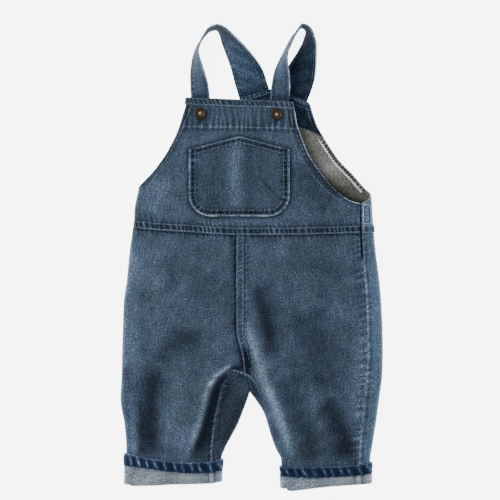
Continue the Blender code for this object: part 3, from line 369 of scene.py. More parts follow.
def dense(points):
    """Straight lines between points as many points."""
    found = []
    for (ax, ay), (bx, by) in zip(points, points[1:]):
        count = max(2, int(math.hypot(bx - ax, by - ay)))
        found += [(ax + (bx - ax) * k / count, ay + (by - ay) * k / count) for k in range(count)]
    return np.array(found + [points[-1]])


def along_lines(x, y, table):
    """Add up soft ridges along lines: height, half width, points."""
    total = np.zeros(np.shape(x))
    for height, width, points in table:
        nearest, _, place, length = path_field(x, y, points)
        place = place / length
        ends = ease(place * 4.0 + 0.25) * ease((1.0 - place) * 4.0 + 0.25)
        total += height * ends * np.exp(-(nearest / width) ** 2)
    return total


# The form of the garment

def fold_edge(side, y):
    """The x of a fold's outermost line and the fold's radius."""
    radius = curve(OUTER_FOLDS, y, 3)
    if side in ("left", "right"):
        return curve(OUTER_FOLDS, y, 1 if side == "left" else 2), radius
    return curve(INNER_FOLDS, y, 1 if side == "left_inner" else 2), radius


def inward(side):
    """Which way along X a fold's cloth lies."""
    return 1.0 if side in ("left", "right_inner") else -1.0


def under_height(y):
    """The middle of the lower layer: on the table, or on the cuff near a leg's end."""
    return DENIM / 2 + CUFF_RISE * ease((-212.0 - np.asarray(y, dtype=float)) / 32.0)


def inner_distance(x, y):
    """How far a point is from the folds between the legs."""
    nearest = np.full(np.shape(x), FAR)
    for column in (1, 2):
        points = [(row[column], row[0]) for row in INNER_FOLDS]
        nearest = np.minimum(nearest, line_distance(x, y, points))
    return nearest


def over_height(x, y, fine=True):
    """The middle of the upper layer's cloth."""
    x, y = np.broadcast_arrays(np.asarray(x, dtype=float), np.asarray(y, dtype=float))
    left, radius = fold_edge("left", y)
    right, _ = fold_edge("right", y)
    inner = inner_distance(x, y)
    lift, lift_reach = curve(LIFT, y), curve(LIFT, y, 2)
    crease, small = 1.0, 1.0
    for gap in (x - left - radius, right - radius - x, inner - radius):
        lift = lift * ease(gap / lift_reach)
        crease = crease * ease(gap / CREASE_REACH)
        small = small * ease(gap / 6.0)
    height = lift + crease * along_lines(x, y, CREASES)
    if fine:
        height = height + small * along_lines(x, y, FINE_CREASES)
    dip = np.clip(1.0 - inner / radius, 0.0, 1.0)
    return under_height(y) + radius * (1.0 + np.sqrt(1.0 - dip * dip)) + height


def points_at(x, y, z):
    """Points as rows of x, y, z."""
    return np.stack(np.broadcast_arrays(x, y, z), axis=-1).astype(float)


def over(x, y, out=0.0):
    """Points on the upper layer, raised from the cloth's middle."""
    return points_at(x, y, over_height(x, y) + out)


def around(side, y, reach, out=0.0):
    """Points near a fold, by the cloth's reach in from the top of the fold."""
    edge, radius = fold_edge(side, y)
    way, low = inward(side), under_height(y)
    angle = np.clip(-reach / radius, 0.0, math.pi)
    turned, grown = angle < math.pi, radius + out
    over_x = edge + way * (radius + np.maximum(reach, 0.0))
    under_x = edge + way * (radius + np.maximum(-reach - math.pi * radius, 0.0))
    fold_x = edge + way * (radius - grown * np.sin(angle))
    x = np.where(reach > 0.0, over_x, np.where(turned, fold_x, under_x))
    z = np.where(turned, low + radius + grown * np.cos(angle), low - out)
    return points_at(x, y, np.where(reach > 0.0, over_height(over_x, y) + out, z))


def reach_over(side, x, y):
    """The reach of points of the upper layer."""
    edge, radius = fold_edge(side, y)
    inside = inward(side) * (x - edge)
    turned = -radius * np.arcsin(np.clip(1.0 - inside / radius, -1.0, 1.0))
    return np.where(inside >= radius, inside - radius, turned)


def reach_under(side, x, y):
    """The reach of points of the lower layer."""
    edge, radius = fold_edge(side, y)
    return -math.pi * radius - (inward(side) * (x - edge) - radius)


def waist_line(level):
    """A line across the garment at a level, which near the waist isn't quite straight."""
    share = ease(1.0 - np.abs(level - WAIST_LEVEL) / WAIST_FADE)
    left, right = WAIST_DROOP[0], WAIST_DROOP[-1]

    def height(x, upper=True):
        if upper:
            return level + share * curve(WAIST_DROOP, x)
        place = (x - left[0]) / (right[0] - left[0])
        return level + share * (left[1] + (right[1] - left[1]) * place)
    return height


def cuff_line(leg, column, rise=0.0):
    """A line across a leg that follows its turned-up cuff."""
    table = LEFT_CUFF if leg == "left" else RIGHT_CUFF

    def height(x, upper=True):
        if upper:
            return curve(table, x, column) + rise
        low, high = table[0], table[-1]
        share = np.clip((x - low[0]) / (high[0] - low[0]), 0.0, 1.0)
        return low[column] + (high[column] - low[column]) * share + rise
    return height


def shifted(line_y, shift):
    """A line across the garment moved up."""
    return lambda x, upper=True: line_y(x, upper) + shift


def blend_lines(first, last, share):
    """A line part of the way between two."""
    return lambda x, upper=True: first(x, upper) * (1.0 - share) + last(x, upper) * share


def bow(left, middle, right, t, roundness=2.0):
    """A value that bows from its left end through its middle to its right end."""
    straight = left + (right - left) * t
    return straight + (middle - (left + right) / 2) * (1.0 - np.abs(2.0 * t - 1.0) ** roundness)


def sweep(side, line_y, start, end, out=0.0):
    """A line of cloth round one fold, as points with weights."""
    edge = fold_edge(side, line_y(fold_edge(side, WAIST_LEVEL)[0]))[0]
    fold_y = line_y(edge)
    edge, radius = fold_edge(side, fold_y)
    way, fold_end = inward(side), -math.pi * radius
    values = np.linspace(start, end, max(3, int(abs(end - start) / 0.8) + 1))
    over_y = line_y(edge + way * (radius + np.maximum(values, 0.0)))
    under_y = line_y(edge + way * (radius + np.maximum(fold_end - values, 0.0)), False)
    y = np.where(values > 0.0, over_y, np.where(values < fold_end, under_y, fold_y))
    near_fold = (values < 3.0) & (values > fold_end - 3.0)
    weights = np.where(near_fold, FOLD_WEIGHT, np.where(values < fold_end, UNDER_WEIGHT, 1.0))
    return around(side, y, values, out), weights


def run(start, end, upper=True):
    """A straight line of cloth on one layer, between two points of the plan."""
    length = math.hypot(end[0] - start[0], end[1] - start[1])
    t = np.linspace(0.0, 1.0, max(3, int(length / 0.8)))
    x, y = start[0] + (end[0] - start[0]) * t, start[1] + (end[1] - start[1]) * t
    if upper:
        return over(x, y), np.ones(len(t))
    return points_at(x, y, under_height(y)), np.full(len(t), UNDER_WEIGHT)


def bent_run(line_y, start_x, end, start=None):
    """A run over the upper layer along a line, drawn to its ends where they lie off it."""
    begin_off = start[1] - line_y(start[0]) if start is not None else 0.0
    end_off = end[1] - line_y(end[0])
    t = np.linspace(0.0, 1.0, max(3, int(abs(end[0] - start_x) / 0.8)))
    x = start_x + (end[0] - start_x) * t
    y = line_y(x) + begin_off * (1.0 - t) ** 4 + end_off * t ** 4
    return over(x, y), np.ones(len(t))


def join(*lines):
    """Lines of cloth one after another."""
    return np.concatenate([line[0] for line in lines]), np.concatenate([line[1] for line in lines])


def weighted_steps(line):
    """The steps between a line's points, longer where the cloth has to be fine."""
    points, weights = line
    return np.linalg.norm(np.diff(points, axis=0), axis=1) * (weights[1:] + weights[:-1]) / 2


def share_out(line, count):
    """Points shared out along a weighted line."""
    marks = running(np.maximum(weighted_steps(line), 1e-6))
    goal = np.linspace(0.0, marks[-1], count)
    return np.stack([np.interp(goal, marks, column) for column in line[0].T], axis=1)


def grid_of(lines):
    """A grid of points from lines of cloth, with the columns that the longest line needs."""
    longest = max(weighted_steps(line).sum() for line in lines)
    return np.stack([share_out(line, int(longest / CELL) + 2) for line in lines])


def above_hip(y):
    """From 0 to 1 where the slit above the right hip opens."""
    return ease((y + 6.0) / 12.0)


def side_seam(side, y, part):
    """The end of a panel at a side seam: its x on the layer that carries the seam."""
    away = -1.0 if part == "front" else 1.0
    if side == "left":
        return curve(SIDE_SEAMS, y, 1) + away * SEAM_HALF
    opening = SIDE_OPENING * above_hip(y) * ease((78.0 - y) / 8.0)
    return curve(SIDE_SEAMS, y, 2) + away * (SEAM_HALF + opening / 2)


def inseam(leg, y, part):
    """The end of a front or back panel at an inseam, on the upper layer."""
    x = curve(LEFT_INSEAM if leg == "left" else RIGHT_INSEAM, y)
    side = -1.0 if leg == "left" else 1.0
    away = side if part == "front" else -side
    return float(x + away * SEAM_HALF), float(y + (SEAM_HALF if part == "front" else -SEAM_HALF))


# The rows of each panel

def above_waist(*levels):
    """Levels that stay above the waist seam."""
    return [max(y, WAIST_LEVEL + SEAM_HALF) for y in levels]


def bib_lines():
    """The bib with the front of the bodice."""
    table = []
    for reach, left_y, middle_y, right_x, right_y in BIB:
        edge_y = waist_line(left_y)(fold_edge("left", left_y)[0])
        if reach is None:
            reach = reach_under("left", side_seam("left", edge_y, "front"), edge_y)
        if right_x is None:
            right_x = side_seam("right", right_y, "front")
        table.append((reach, left_y, middle_y, right_x, right_y))
    lines = []
    t = np.linspace(0.0, 1.0, 260)
    for reach, left_y, middle_y, right_x, right_y in rows_between(table):
        left_y, middle_y, right_y = above_waist(left_y, middle_y, right_y)
        left_line = waist_line(left_y)
        edge_y = left_line(fold_edge("left", left_y)[0])
        start_x = around("left", edge_y, max(reach, 0.0))[0]
        x = start_x + (right_x - start_x) * t
        level = bow(left_y, middle_y, right_y, t)
        top = over(x, waist_line(level)(x)), np.ones(len(t))
        lines.append(join(sweep("left", left_line, reach, 0.0), top) if reach < -0.5 else top)
    return lines


def back_lines():
    """The back from the waist seam to its peaked top edge."""
    table = []
    for left_x, left_y, middle_y, reach, right_y, roundness in BACK:
        edge_y = waist_line(right_y)(fold_edge("right", right_y)[0])
        if left_x is None:
            left_x = side_seam("left", waist_line(left_y)(-120.0, False), "back")
        if reach is None:
            reach = reach_over("right", side_seam("right", edge_y, "back"), edge_y)
        table.append((left_x, left_y, middle_y, reach, right_y, roundness))
    lines = []
    t = np.linspace(0.0, 1.0, 260)
    for left_x, left_y, middle_y, reach, right_y, roundness in rows_between(table):
        left_y, middle_y, right_y = above_waist(left_y, middle_y, right_y)
        right_line = waist_line(right_y)
        edge_y = right_line(fold_edge("right", right_y)[0])
        _, radius = fold_edge("right", edge_y)
        end_x = around("right", edge_y, min(reach, -math.pi * radius))[0]
        x = left_x + (end_x - left_x) * t
        y = waist_line(bow(left_y, middle_y, right_y, t, roundness))(x, False)
        flat = points_at(x, y, under_height(y)), np.full(len(t), 0.8)
        if reach > -math.pi * radius + 0.5:
            flat = join(flat, sweep("right", right_line, -math.pi * radius, reach))
        lines.append(flat)
    return lines


def leg_levels(leg, rise):
    """The lines across a leg, from the waist seam down to a little above its cuff's foot."""
    levels = np.arange(LEG_TOP, LEG_LEVELS_END, -PACE)
    last, foot = waist_line(LEG_LEVELS_END), cuff_line(leg, CUFF_FOOT, rise)
    lines = [waist_line(level) for level in levels]
    return lines + [blend_lines(last, foot, share) for share in np.linspace(0.0, 1.0, 7)]


def front_leg_lines(leg):
    """A front leg panel, from the waist seam to the fold of its cuff."""
    lines = []
    for line_y in leg_levels(leg, 4.2):
        level = float(line_y(-90.0 if leg == "left" else 90.0))
        middle_y = float(line_y(-14.0))
        if leg == "left":
            edge_y = line_y(fold_edge("left", level)[0])
            reach = reach_under("left", side_seam("left", edge_y, "front"), edge_y)
            end = (float(curve(FRONT_RISE, middle_y)) - SEAM_HALF, middle_y)
            if middle_y < TIP_Y:
                end = inseam("left", line_y(curve(LEFT_INSEAM, level)), "front")
            fold = sweep("left", line_y, reach, 0.0)
            lines.append(join(fold, bent_run(line_y, fold[0][-1][0], end)))
            continue
        seam_y = line_y(140.0)
        end = (float(side_seam("right", seam_y, "front")), float(seam_y))
        if middle_y > TIP_Y:
            start = (float(curve(FRONT_RISE, middle_y)) + SEAM_HALF, middle_y)
            lines.append(bent_run(line_y, start[0], end, start))
        elif level > -184.0:
            start = inseam("right", level, "front")
            lines.append(bent_run(line_y, start[0], end, start))
        else:
            edge_y = line_y(fold_edge("right_inner", level)[0])
            reach = float(curve(RIGHT_INSEAM_TURN, edge_y)) + SEAM_HALF
            start = around("right_inner", edge_y, max(reach, 0.0))
            top = bent_run(line_y, start[0], end)
            lines.append(join(sweep("right_inner", line_y, reach, 0.0), top) if reach < -0.3 else top)
    return lines


def back_leg_lines(leg):
    """A back leg panel: flat underneath, and round the inner fold to the inseam on top."""
    inner, way = leg + "_inner", inward(leg + "_inner")
    middle_x = -90.0 if leg == "left" else 90.0

    def side_end(y, line_y=None):
        line_y = line_y or waist_line(y)
        if leg == "left":
            seam_y = line_y(-130.0, False)
            end = (side_seam("left", seam_y, "back"), seam_y)
            return run((middle_x, line_y(middle_x, False)), end, False)
        edge_y = line_y(fold_edge("right", y)[0])
        last = reach_over("right", side_seam("right", line_y(140.0), "back"), edge_y)
        return sweep("right", line_y, reach_under("right", middle_x, edge_y), last)

    lines = []
    leg_part = [line for line in leg_levels(leg, 3.2) if line(middle_x) < -190.5]
    for line_y in reversed(leg_part):
        level = float(line_y(middle_x))
        edge_y = line_y(fold_edge(inner, level)[0])
        if leg == "left":
            end_x, end_y = inseam("left", line_y(curve(LEFT_INSEAM, level)), "back")
            reach = reach_over(inner, end_x, end_y)
        else:
            reach = curve(RIGHT_INSEAM_TURN, edge_y) - SEAM_HALF
        fold = sweep(inner, line_y, float(reach), float(reach_under(inner, middle_x, edge_y)))
        lines.append(join(fold, side_end(level, line_y)))
    tip_row = [row[0] for row in CROTCH_ROWS].index(TIP_Y)
    ends = []
    for i, (end_y, fold_y, side_y) in enumerate(CROTCH_ROWS):
        seam_x = curve(CROTCH_SEAM, end_y) if i > tip_row else inseam(leg, end_y, "back")[0]
        ends.append((float(i), float(seam_x), end_y, fold_y, side_y))
    for place, _, end_y, fold_y, side_y in rows_between(ends):
        edge, radius = fold_edge(inner, fold_y)
        start_angle = 0.0
        if place <= tip_row:
            end = inseam(leg, end_y, "back")
            if leg == "right" and end_y < -182.0:
                end = (around(inner, end_y, curve(RIGHT_INSEAM_TURN, end_y) - SEAM_HALF)[0], end_y)
        else:
            end = (float(curve(CROTCH_SEAM, end_y)) + way * 0.4, end_y)
            start_angle = math.asin(min(max(1.0 - (end_y - CROTCH_Y) / radius, 0.0), 1.0))
        top = (edge + way * radius * (1.0 - math.sin(start_angle)), fold_y)
        angles = np.linspace(start_angle, math.pi, 24)
        fold = around(inner, fold_y, -angles * radius + 1e-6), np.full(len(angles), FOLD_WEIGHT)
        under = run((edge + way * radius, fold_y), (middle_x, side_y), False)
        lines.append(join(run(end, top), fold, under, side_end(side_y)))
    for end_y, side_y in rows_between(SEAT_ROWS, PACE if leg == "right" else 3.0):
        end_x = curve(BACK_RISE, end_y) + way * SEAM_HALF
        end = (end_x, waist_line(end_y)(end_x, False))
        line = run(end, (middle_x, waist_line(side_y)(middle_x, False)), False)
        lines.append(join(line, side_end(side_y)))
    return lines


def leg_ring(leg, line_y, out):
    """A closed line of cloth round a leg, moved out from the leg's own wall."""
    inner = leg + "_inner"
    right_side, left_side = (inner, leg) if leg == "left" else (leg, inner)
    middle_x = -95.0 if leg == "left" else 95.0
    line = []
    for side, upward in ((right_side, True), (left_side, False)):
        edge_y = line_y(fold_edge(side, line_y(middle_x))[0])
        low, high = reach_under(side, middle_x, edge_y), reach_over(side, middle_x, edge_y)
        start, end = (low, high) if upward else (high, low)
        line.append(sweep(side, line_y, float(start), float(end), out))
    return join(*line)


def cuff_lines(leg):
    """The turned-up wrong side, from inside its foot round to under the hem band."""
    turn = CUFF_RISE / 2
    lines = []
    for angle in np.linspace(math.pi, 0.0, 9):
        rise = 2.3 - turn * math.sin(angle)
        lines.append(leg_ring(leg, cuff_line(leg, CUFF_FOOT, rise), turn + turn * math.cos(angle)))
    low, high = cuff_line(leg, CUFF_FOOT, 4.0), cuff_line(leg, BAND_FOOT, 0.8)
    for share in np.linspace(0.0, 1.0, 12):
        lines.append(leg_ring(leg, blend_lines(low, high, share), CUFF_RISE))
    return lines


def band_lines(leg):
    """The hem's band on the cuff."""
    low, high = cuff_line(leg, BAND_FOOT, 0.2), cuff_line(leg, BAND_TOP)
    out = DENIM / 2 + CUFF_GAP + BAND / 2
    return [leg_ring(leg, blend_lines(low, high, share), out) for share in np.linspace(0.0, 1.0, 15)]


# Meshes

def deselect():
    """Leave nothing selected."""
    bpy.ops.object.select_all(action="DESELECT")


def normals_of(grid):
    """Unit normals of a grid of points."""
    return unit(np.cross(np.gradient(grid, axis=1), np.gradient(grid, axis=0)))


def lengths_along(grid, axis):
    """How far along its row or column of the grid each point is."""
    steps = np.linalg.norm(np.diff(grid, axis=axis), axis=2)
    return np.insert(np.cumsum(steps, axis=axis), 0, 0.0, axis=axis)


def rim_gap(grid, side):
    """How far each point is from one edge of its grid, measured on the cloth."""
    if side in ("first", "last"):
        along = lengths_along(grid, 1)
        return along if side == "first" else along[:, -1:] - along
    along = lengths_along(grid, 0)
    return along if side == "foot" else along[-1:] - along


def sheet_coordinates(grid, anchor):
    """Where each point lies on the flat cloth: measured across from one end, and along."""
    across = lengths_along(grid, 1)
    if anchor == "last":
        across = across - across[:, -1:] + grid[:, -1:, 0]
    else:
        across = across + grid[:, :1, 0]
    way = unit(np.gradient(grid, axis=1))
    rows = np.linalg.norm(np.cross(np.diff(grid, axis=0), way[1:]), axis=2).mean(axis=1)
    along = running(rows)[:, None] + np.zeros_like(across)
    return np.stack([across, along], axis=2)


def cloth(name, grid, thickness, wear_and_shade, materials, anchor="first", ring=False, outward=1.0, relief=None):
    """A fine wall of cloth from a grid of points.

    wear_and_shade runs from dark to faded at each point, and holds painted shade and highlight as well as
    wear; relief moves the points along their normals, and outward says whether the garment's outside faces up
    or down on most of the piece.
    """
    normal = normals_of(grid)
    if normal[:, :, 2].mean() * outward < 0.0:
        grid, wear_and_shade = grid[:, ::-1], wear_and_shade[:, ::-1]
        normal = -normal[:, ::-1]
        relief = None if relief is None else relief[:, ::-1]
        anchor = "first" if anchor == "last" else "last"
    flat = sheet_coordinates(grid, anchor)
    if relief is not None:
        grid = grid + normal * relief[:, :, None]
        grid[:, :, 2] = np.maximum(grid[:, :, 2], thickness / 2)
    rows, columns = grid.shape[:2]
    deselect()
    bpy.ops.mesh.primitive_grid_add(x_subdivisions=columns - 1, y_subdivisions=rows - 1, size=1.0)
    piece = bpy.context.object
    piece.name = piece.data.name = name
    mesh = piece.data
    mesh.vertices.foreach_set("co", ((grid - BOX_CENTRE) * MM).reshape(-1))
    corner = np.empty(len(mesh.loops), dtype=np.int32)
    mesh.loops.foreach_get("vertex_index", corner)
    mesh.uv_layers[0].name = "cloth"
    mesh.uv_layers[0].uv.foreach_set("vector", (flat.reshape(-1, 2)[corner] * MM).reshape(-1))
    # Each point's wear together with its painted shade and highlight, for the colour ramp
    mesh.attributes.new("wear_and_shade", "FLOAT", "POINT").data.foreach_set("value", wear_and_shade.reshape(-1))
    if ring:
        bpy.ops.object.mode_set(mode="EDIT")
        bpy.ops.mesh.select_all(action="SELECT")
        bpy.ops.mesh.remove_doubles(threshold=0.02 * MM)
        bpy.ops.object.mode_set(mode="OBJECT")
    for material in materials:
        mesh.materials.append(material)
    wall = piece.modifiers.new("Wall", "SOLIDIFY")
    wall.thickness = thickness * MM
    wall.offset = 0.0
    wall.material_offset = 1 if len(materials) > 1 else 0
    wall.material_offset_rim = 2 if len(materials) > 2 else 0
    bpy.ops.object.modifier_apply(modifier="Wall")
    bpy.ops.object.shade_smooth_by_angle(angle=math.radians(50.0))
    mesh.update()
    return piece


SEWN_ON = {}


def settle(piece, node):
    """A finished panel: it is attached to the root and stands for its node, whose part is hidden."""
    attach(piece, "root")
    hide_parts(node)


def sew_on(piece, panel, stands_for=None):
    """A finished strip or thread, which is sewn on a panel and goes with it."""
    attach(piece, "root")
    if stands_for:
        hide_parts(stands_for)
    SEWN_ON.setdefault(panel + "_cloth", []).append(piece)


# Materials

def linear(code):
    """An sRGB hex colour as linear light."""
    parts = [int(code[i:i + 2], 16) / 255.0 for i in (1, 3, 5)]
    return tuple(p / 12.92 if p <= 0.04045 else ((p + 0.055) / 1.055) ** 2.4 for p in parts) + (1.0,)


def fit(tree, node, **links):
    """Link a node's inputs from sockets, or set them to values.  _1 stands for the input numbered 1."""
    for key, value in links.items():
        socket = node.inputs[int(key[1:])] if key[1:].isdigit() else node.inputs[key.replace("_", " ")]
        if isinstance(value, bpy.types.NodeSocket):
            tree.links.new(value, socket)
        else:
            socket.default_value = value
    return node


def add(tree, kind, settings=None, stops=(), **links):
    """Add a node with its settings, its inputs and any stops of colour: position and sRGB hex."""
    node = tree.nodes.new(kind)
    for key, value in (settings or {}).items():
        setattr(node, key, value)
    if stops:
        elements = node.color_ramp.elements
        while len(elements) < len(stops):
            elements.new(0.5)
        for element, (position, code) in zip(elements, stops):
            element.position = position
            element.color = linear(code)
    return fit(tree, node, **links)


def blank(name):
    """A new material with its node tree and its shader."""
    material = bpy.data.materials.new(name)
    material.use_nodes = True
    return material, material.node_tree, material.node_tree.nodes["Principled BSDF"]


def woven(name, stops, tint, speckle=1.3, streak=0.40, blotch=0.34):
    """Washed denim: a 3/1 twill of blue warp over white weft, faded where it rubs, and darker or paler where
    shade and highlight are painted on it.

    The twill's real pitch is about 0.7 mm, under a pixel, so its diagonals are drawn 2.6 mm
    apart, two pixels.  The yarn's uneven thickness shows as streaks 16 mm long along the cloth, and the white
    weft as speckle of 1.5 by 2 mm.  Washing leaves blotches of 20 mm, and tints spread over 60 mm.
    The cotton's loose fibres make it matt, with a faint sheen at its edges.
    """
    material, tree, shader = blank(name)
    place = add(tree, "ShaderNodeUVMap", {"uv_map": "cloth"}).outputs["UV"]
    fine = add(tree, "ShaderNodeMapping", Vector=place, Scale=(680.0, 500.0, 1.0))
    grain = add(tree, "ShaderNodeTexNoise", Vector=fine.outputs[0], Scale=1.0, Detail=2.0, Roughness=0.75)
    long = add(tree, "ShaderNodeMapping", Vector=place, Scale=(560.0, 62.0, 1.0))
    slub = add(tree, "ShaderNodeTexNoise", Vector=long.outputs[0], Scale=1.0, Detail=2.0, Roughness=0.55)
    turned = add(tree, "ShaderNodeMapping", Vector=place, Rotation=(0.0, 0.0, math.radians(63.0)))
    twill = add(tree, "ShaderNodeTexWave", {"wave_type": "BANDS"}, Vector=turned.outputs[0],
                Scale=122.0, Distortion=1.6, Detail=1.0, Detail_Scale=2.0)
    patch = add(tree, "ShaderNodeTexNoise", Vector=place, Scale=52.0, Detail=4.0, Roughness=0.68)
    # Wear and painted shade of each point, from the cloth's attribute
    worn = add(tree, "ShaderNodeAttribute", {"attribute_name": "wear_and_shade"}).outputs["Fac"]
    total = add(tree, "ShaderNodeMath", {"operation": "MULTIPLY_ADD"}, _0=worn, _1=0.62, _2=0.46).outputs[0]
    for source, share in ((grain, speckle), (slub, streak), (twill, 0.05), (patch, blotch)):
        centred = add(tree, "ShaderNodeMath", {"operation": "SUBTRACT"}, _0=source.outputs["Fac"], _1=0.5)
        total = add(tree, "ShaderNodeMath", {"operation": "MULTIPLY_ADD"}, _0=centred.outputs[0], _1=share,
                    _2=total).outputs[0]
    colour = add(tree, "ShaderNodeValToRGB", stops=stops, Fac=total).outputs["Color"]
    wide = add(tree, "ShaderNodeTexNoise", Vector=place, Scale=16.0, Detail=2.0, Roughness=0.5)
    amount = add(tree, "ShaderNodeMapRange", Value=wide.outputs["Fac"], From_Min=0.38, From_Max=0.66,
                 To_Max=0.55)
    mixed = add(tree, "ShaderNodeMix", {"data_type": "RGBA", "blend_type": "MULTIPLY"},
                Factor=amount.outputs[0], _6=colour, _7=linear(tint))
    height = add(tree, "ShaderNodeMath", {"operation": "MULTIPLY_ADD"}, _0=twill.outputs["Fac"], _1=0.2,
                 _2=grain.outputs["Fac"])
    bump = add(tree, "ShaderNodeBump", Strength=0.55, Distance=0.0005, Height=height.outputs[0])
    fit(tree, shader, Base_Color=mixed.outputs[2], Normal=bump.outputs[0], Roughness=0.95,
        Sheen_Weight=0.03, Specular_IOR_Level=0.1)
    return material


# Colours from unworn to worn through, which also show the painted shade and highlight: indigo dye that lies
# only on the warp's outside
DENIM_STOPS = [(0.0, "#111923"), (0.22, "#262f3c"), (0.45, "#3f4b5e"), (0.64, "#596a83"), (0.82, "#7f94af"),
               (1.0, "#c0ccd8")]
BACK_STOPS = [(0.0, "#151d28"), (0.22, "#2e3949"), (0.45, "#49596f"), (0.64, "#647a94"), (0.82, "#8aa1ba"),
              (1.0, "#cad4de")]
DARK_STOPS = [(0.0, "#080c13"), (0.26, "#141d2a"), (0.5, "#263445"), (0.7, "#42546b"), (0.88, "#75889e"),
              (1.0, "#b2bfca")]
GREY_STOPS = [(0.0, "#3c444d"), (0.26, "#626c76"), (0.5, "#838d97"), (0.72, "#a6afb7"), (1.0, "#e2e6e8")]
INSIDE_STOPS = [(0.0, "#2b2c29"), (0.26, "#585a56"), (0.5, "#8b8e8c"), (0.72, "#a9acab"), (1.0, "#dcdedb")]
NAVY_STOPS = [(0.0, "#080d16"), (0.3, "#141f31"), (0.5, "#203049"), (0.68, "#384a66"), (0.84, "#7e8da3"),
              (1.0, "#ccd3da")]

# Cotton twill, right side, garment-washed: the blue warp's floats lie on top, and pale where they rub
washed_denim = woven("washed_denim_right_side", DENIM_STOPS, "#bed0ba")
# The same cloth, more washed out, as the back and the side show: it looks thinner and paler
pale_denim = woven("worn_denim_at_side_and_back", BACK_STOPS, "#bed0ba")
# The same cloth where it was folded away from sun and rubbing: nearly the loom's dark blue
dark_denim = woven("unworn_denim_of_strap_inside", DARK_STOPS, "#b8c4d8")
# The twill's wrong side, turned out on the cuffs: undyed weft on top, grey with blue specks
wrong_side = woven("grey_weft_wrong_side", GREY_STOPS, "#b6c4da", speckle=2.1, streak=0.35, blotch=0.3)
# The wrong side inside the back, in the shade of the bib: softer specks and a yellower grey
inside_back = woven("grey_wrong_side_inside", INSIDE_STOPS, "#cfc8ba", speckle=1.2, streak=0.25, blotch=0.3)
# Dense denim turned and stitched in three layers: deep navy, and white on the ropes' crests
navy_denim = woven("dark_denim_of_hem_and_facing", NAVY_STOPS, "#b8c4e0", speckle=0.6)


# Small relief along seams

def ripple(place, pitch, phase):
    """An uneven row of puckers from 0 to 1 along a seam."""
    wobble = 0.35 * np.sin(place * 0.071 + phase * 2.1) + 0.22 * np.sin(place * 0.19 + phase)
    wave = np.cos(2.0 * math.pi * (place / pitch + wobble + phase))
    strong = 0.72 + 0.28 * np.sin(place * 0.11 + 1.7 * phase) * np.sin(place * 0.043 + phase)
    return (0.5 + 0.5 * wave) ** 1.4 * strong


# Rows of stitching and edges of the panels, as x and y
WAIST_FOOT = [(-146, 38), (-120, 35.6), (-79, 32.8), (-14, 29.3), (60, 29.7), (137, 31.9)]
WAIST_HEAD = [(x, y + SEAM_WIDTH) for x, y in WAIST_FOOT]
RISE_LEFT = [(-18.9, 29), (-18.9, -91), (-16.4, -103), (-13, -115), (-9.6, -130), (-8, -148)]
RISE_RIGHT = [(-9.7, 29), (-9.7, -91), (-7.6, -103), (-4.6, -115), (-2.6, -130), (-2, -146)]
SIDE_LINE = [(137.6, 32), (137.2, 9), (140.2, -23), (143.4, -72), (144.6, -121), (142.6, -154),
             (140.6, -177), (137.6, -210), (134.2, -241), (133.8, -258)]
INSEAM_LINE = [(-28, -151), (-36.6, -162), (-39.6, -173), (-43.6, -190), (-47.6, -211), (-49.6, -229),
               (-50.6, -245), (-51, -256)]
FACING_LINE = [(-86, 166.6), (-30, 166.0), (20, 165.2), (58, 164.4)]
BIB_EDGE_LEFT = [(-79.5, 200), (-88, 182), (-97, 162), (-108, 140), (-124, 112), (-134, 99), (-140, 90)]
BIB_EDGE_RIGHT = [(50, 196), (54, 170), (61, 146), (71, 126), (86, 105), (104, 86), (122, 73.5), (136, 67)]

# Puckers of each panel: the line they are beside, their reach left and right of it, pitch, strength, slant
PUCKERS = {
    "bib_front": [
        (WAIST_HEAD, 7.0, 3.0, 6.2, 0.55, 0.3), (BIB_EDGE_LEFT, 3.5, 6.0, 5.8, 0.45, 0.6),
        (BIB_EDGE_RIGHT, 6.0, 3.5, 5.8, 0.45, -0.6), (FACING_LINE, 10.0, 4.0, 7.4, 0.75, 0.0)],
    "back_bodice": [([(140, 69), (140, 36)], 6.0, 6.0, 9.0, 0.5, 0.0)],
    "leg_front_left": [
        (WAIST_FOOT, 3.0, 7.0, 6.2, 0.6, 0.2), (RISE_LEFT, 3.0, 6.0, 7.0, 0.4, 0.4),
        (INSEAM_LINE, 5.0, 6.0, 8.0, 0.45, 0.5)],
    "leg_front_right": [
        (WAIST_FOOT, 3.0, 7.0, 6.2, 0.6, 0.2), (RISE_RIGHT, 6.0, 3.0, 7.0, 0.45, 0.4),
        (SIDE_LINE, 7.0, 9.0, 9.5, 0.55, 0.25)],
    "leg_back_left": [(INSEAM_LINE, 6.0, 5.0, 8.0, 0.4, 0.5)],
    "leg_back_right": [(SIDE_LINE, 8.0, 9.0, 9.5, 0.6, 0.25)]}


def seam_relief(x, y, panel):
    """Relief and wear from a panel's puckers."""
    relief, wear_and_shade = np.zeros(np.shape(x)), np.zeros(np.shape(x))
    for number, (points, left_reach, right_reach, pitch, strength, slant) in enumerate(PUCKERS[panel]):
        gap, side, place, _ = path_field(x, y, points)
        reach = np.where(side > 0.0, left_reach, right_reach)
        fall = np.exp(-(gap / reach) ** 2)
        wave = ripple(place + slant * gap * side, pitch, number * 1.3) - 0.5
        relief += strength * fall * wave
        wear_and_shade += strength * 0.9 * fall * wave
    return relief, wear_and_shade


def edge_shade(gap, width, strength):
    """A narrow band along an edge or a stitched line."""
    return strength * np.exp(-(gap / width) ** 2)


def faded_and_shaded(x, y, table=FADES_AND_SHADES):
    """How faded the cloth is along the lines of a table, and how much shade and highlight are painted there.
    """
    total = np.zeros(np.shape(x))
    for strength, left, right, points in table:
        gap, side, place, length = path_field(x, y, points)
        place = place / length
        ends = ease(place * 5.0 + 0.15) * ease((1.0 - place) * 5.0 + 0.15)
        total += strength * ends * np.exp(-(gap / np.where(side > 0.0, left, right)) ** 2)
    return total


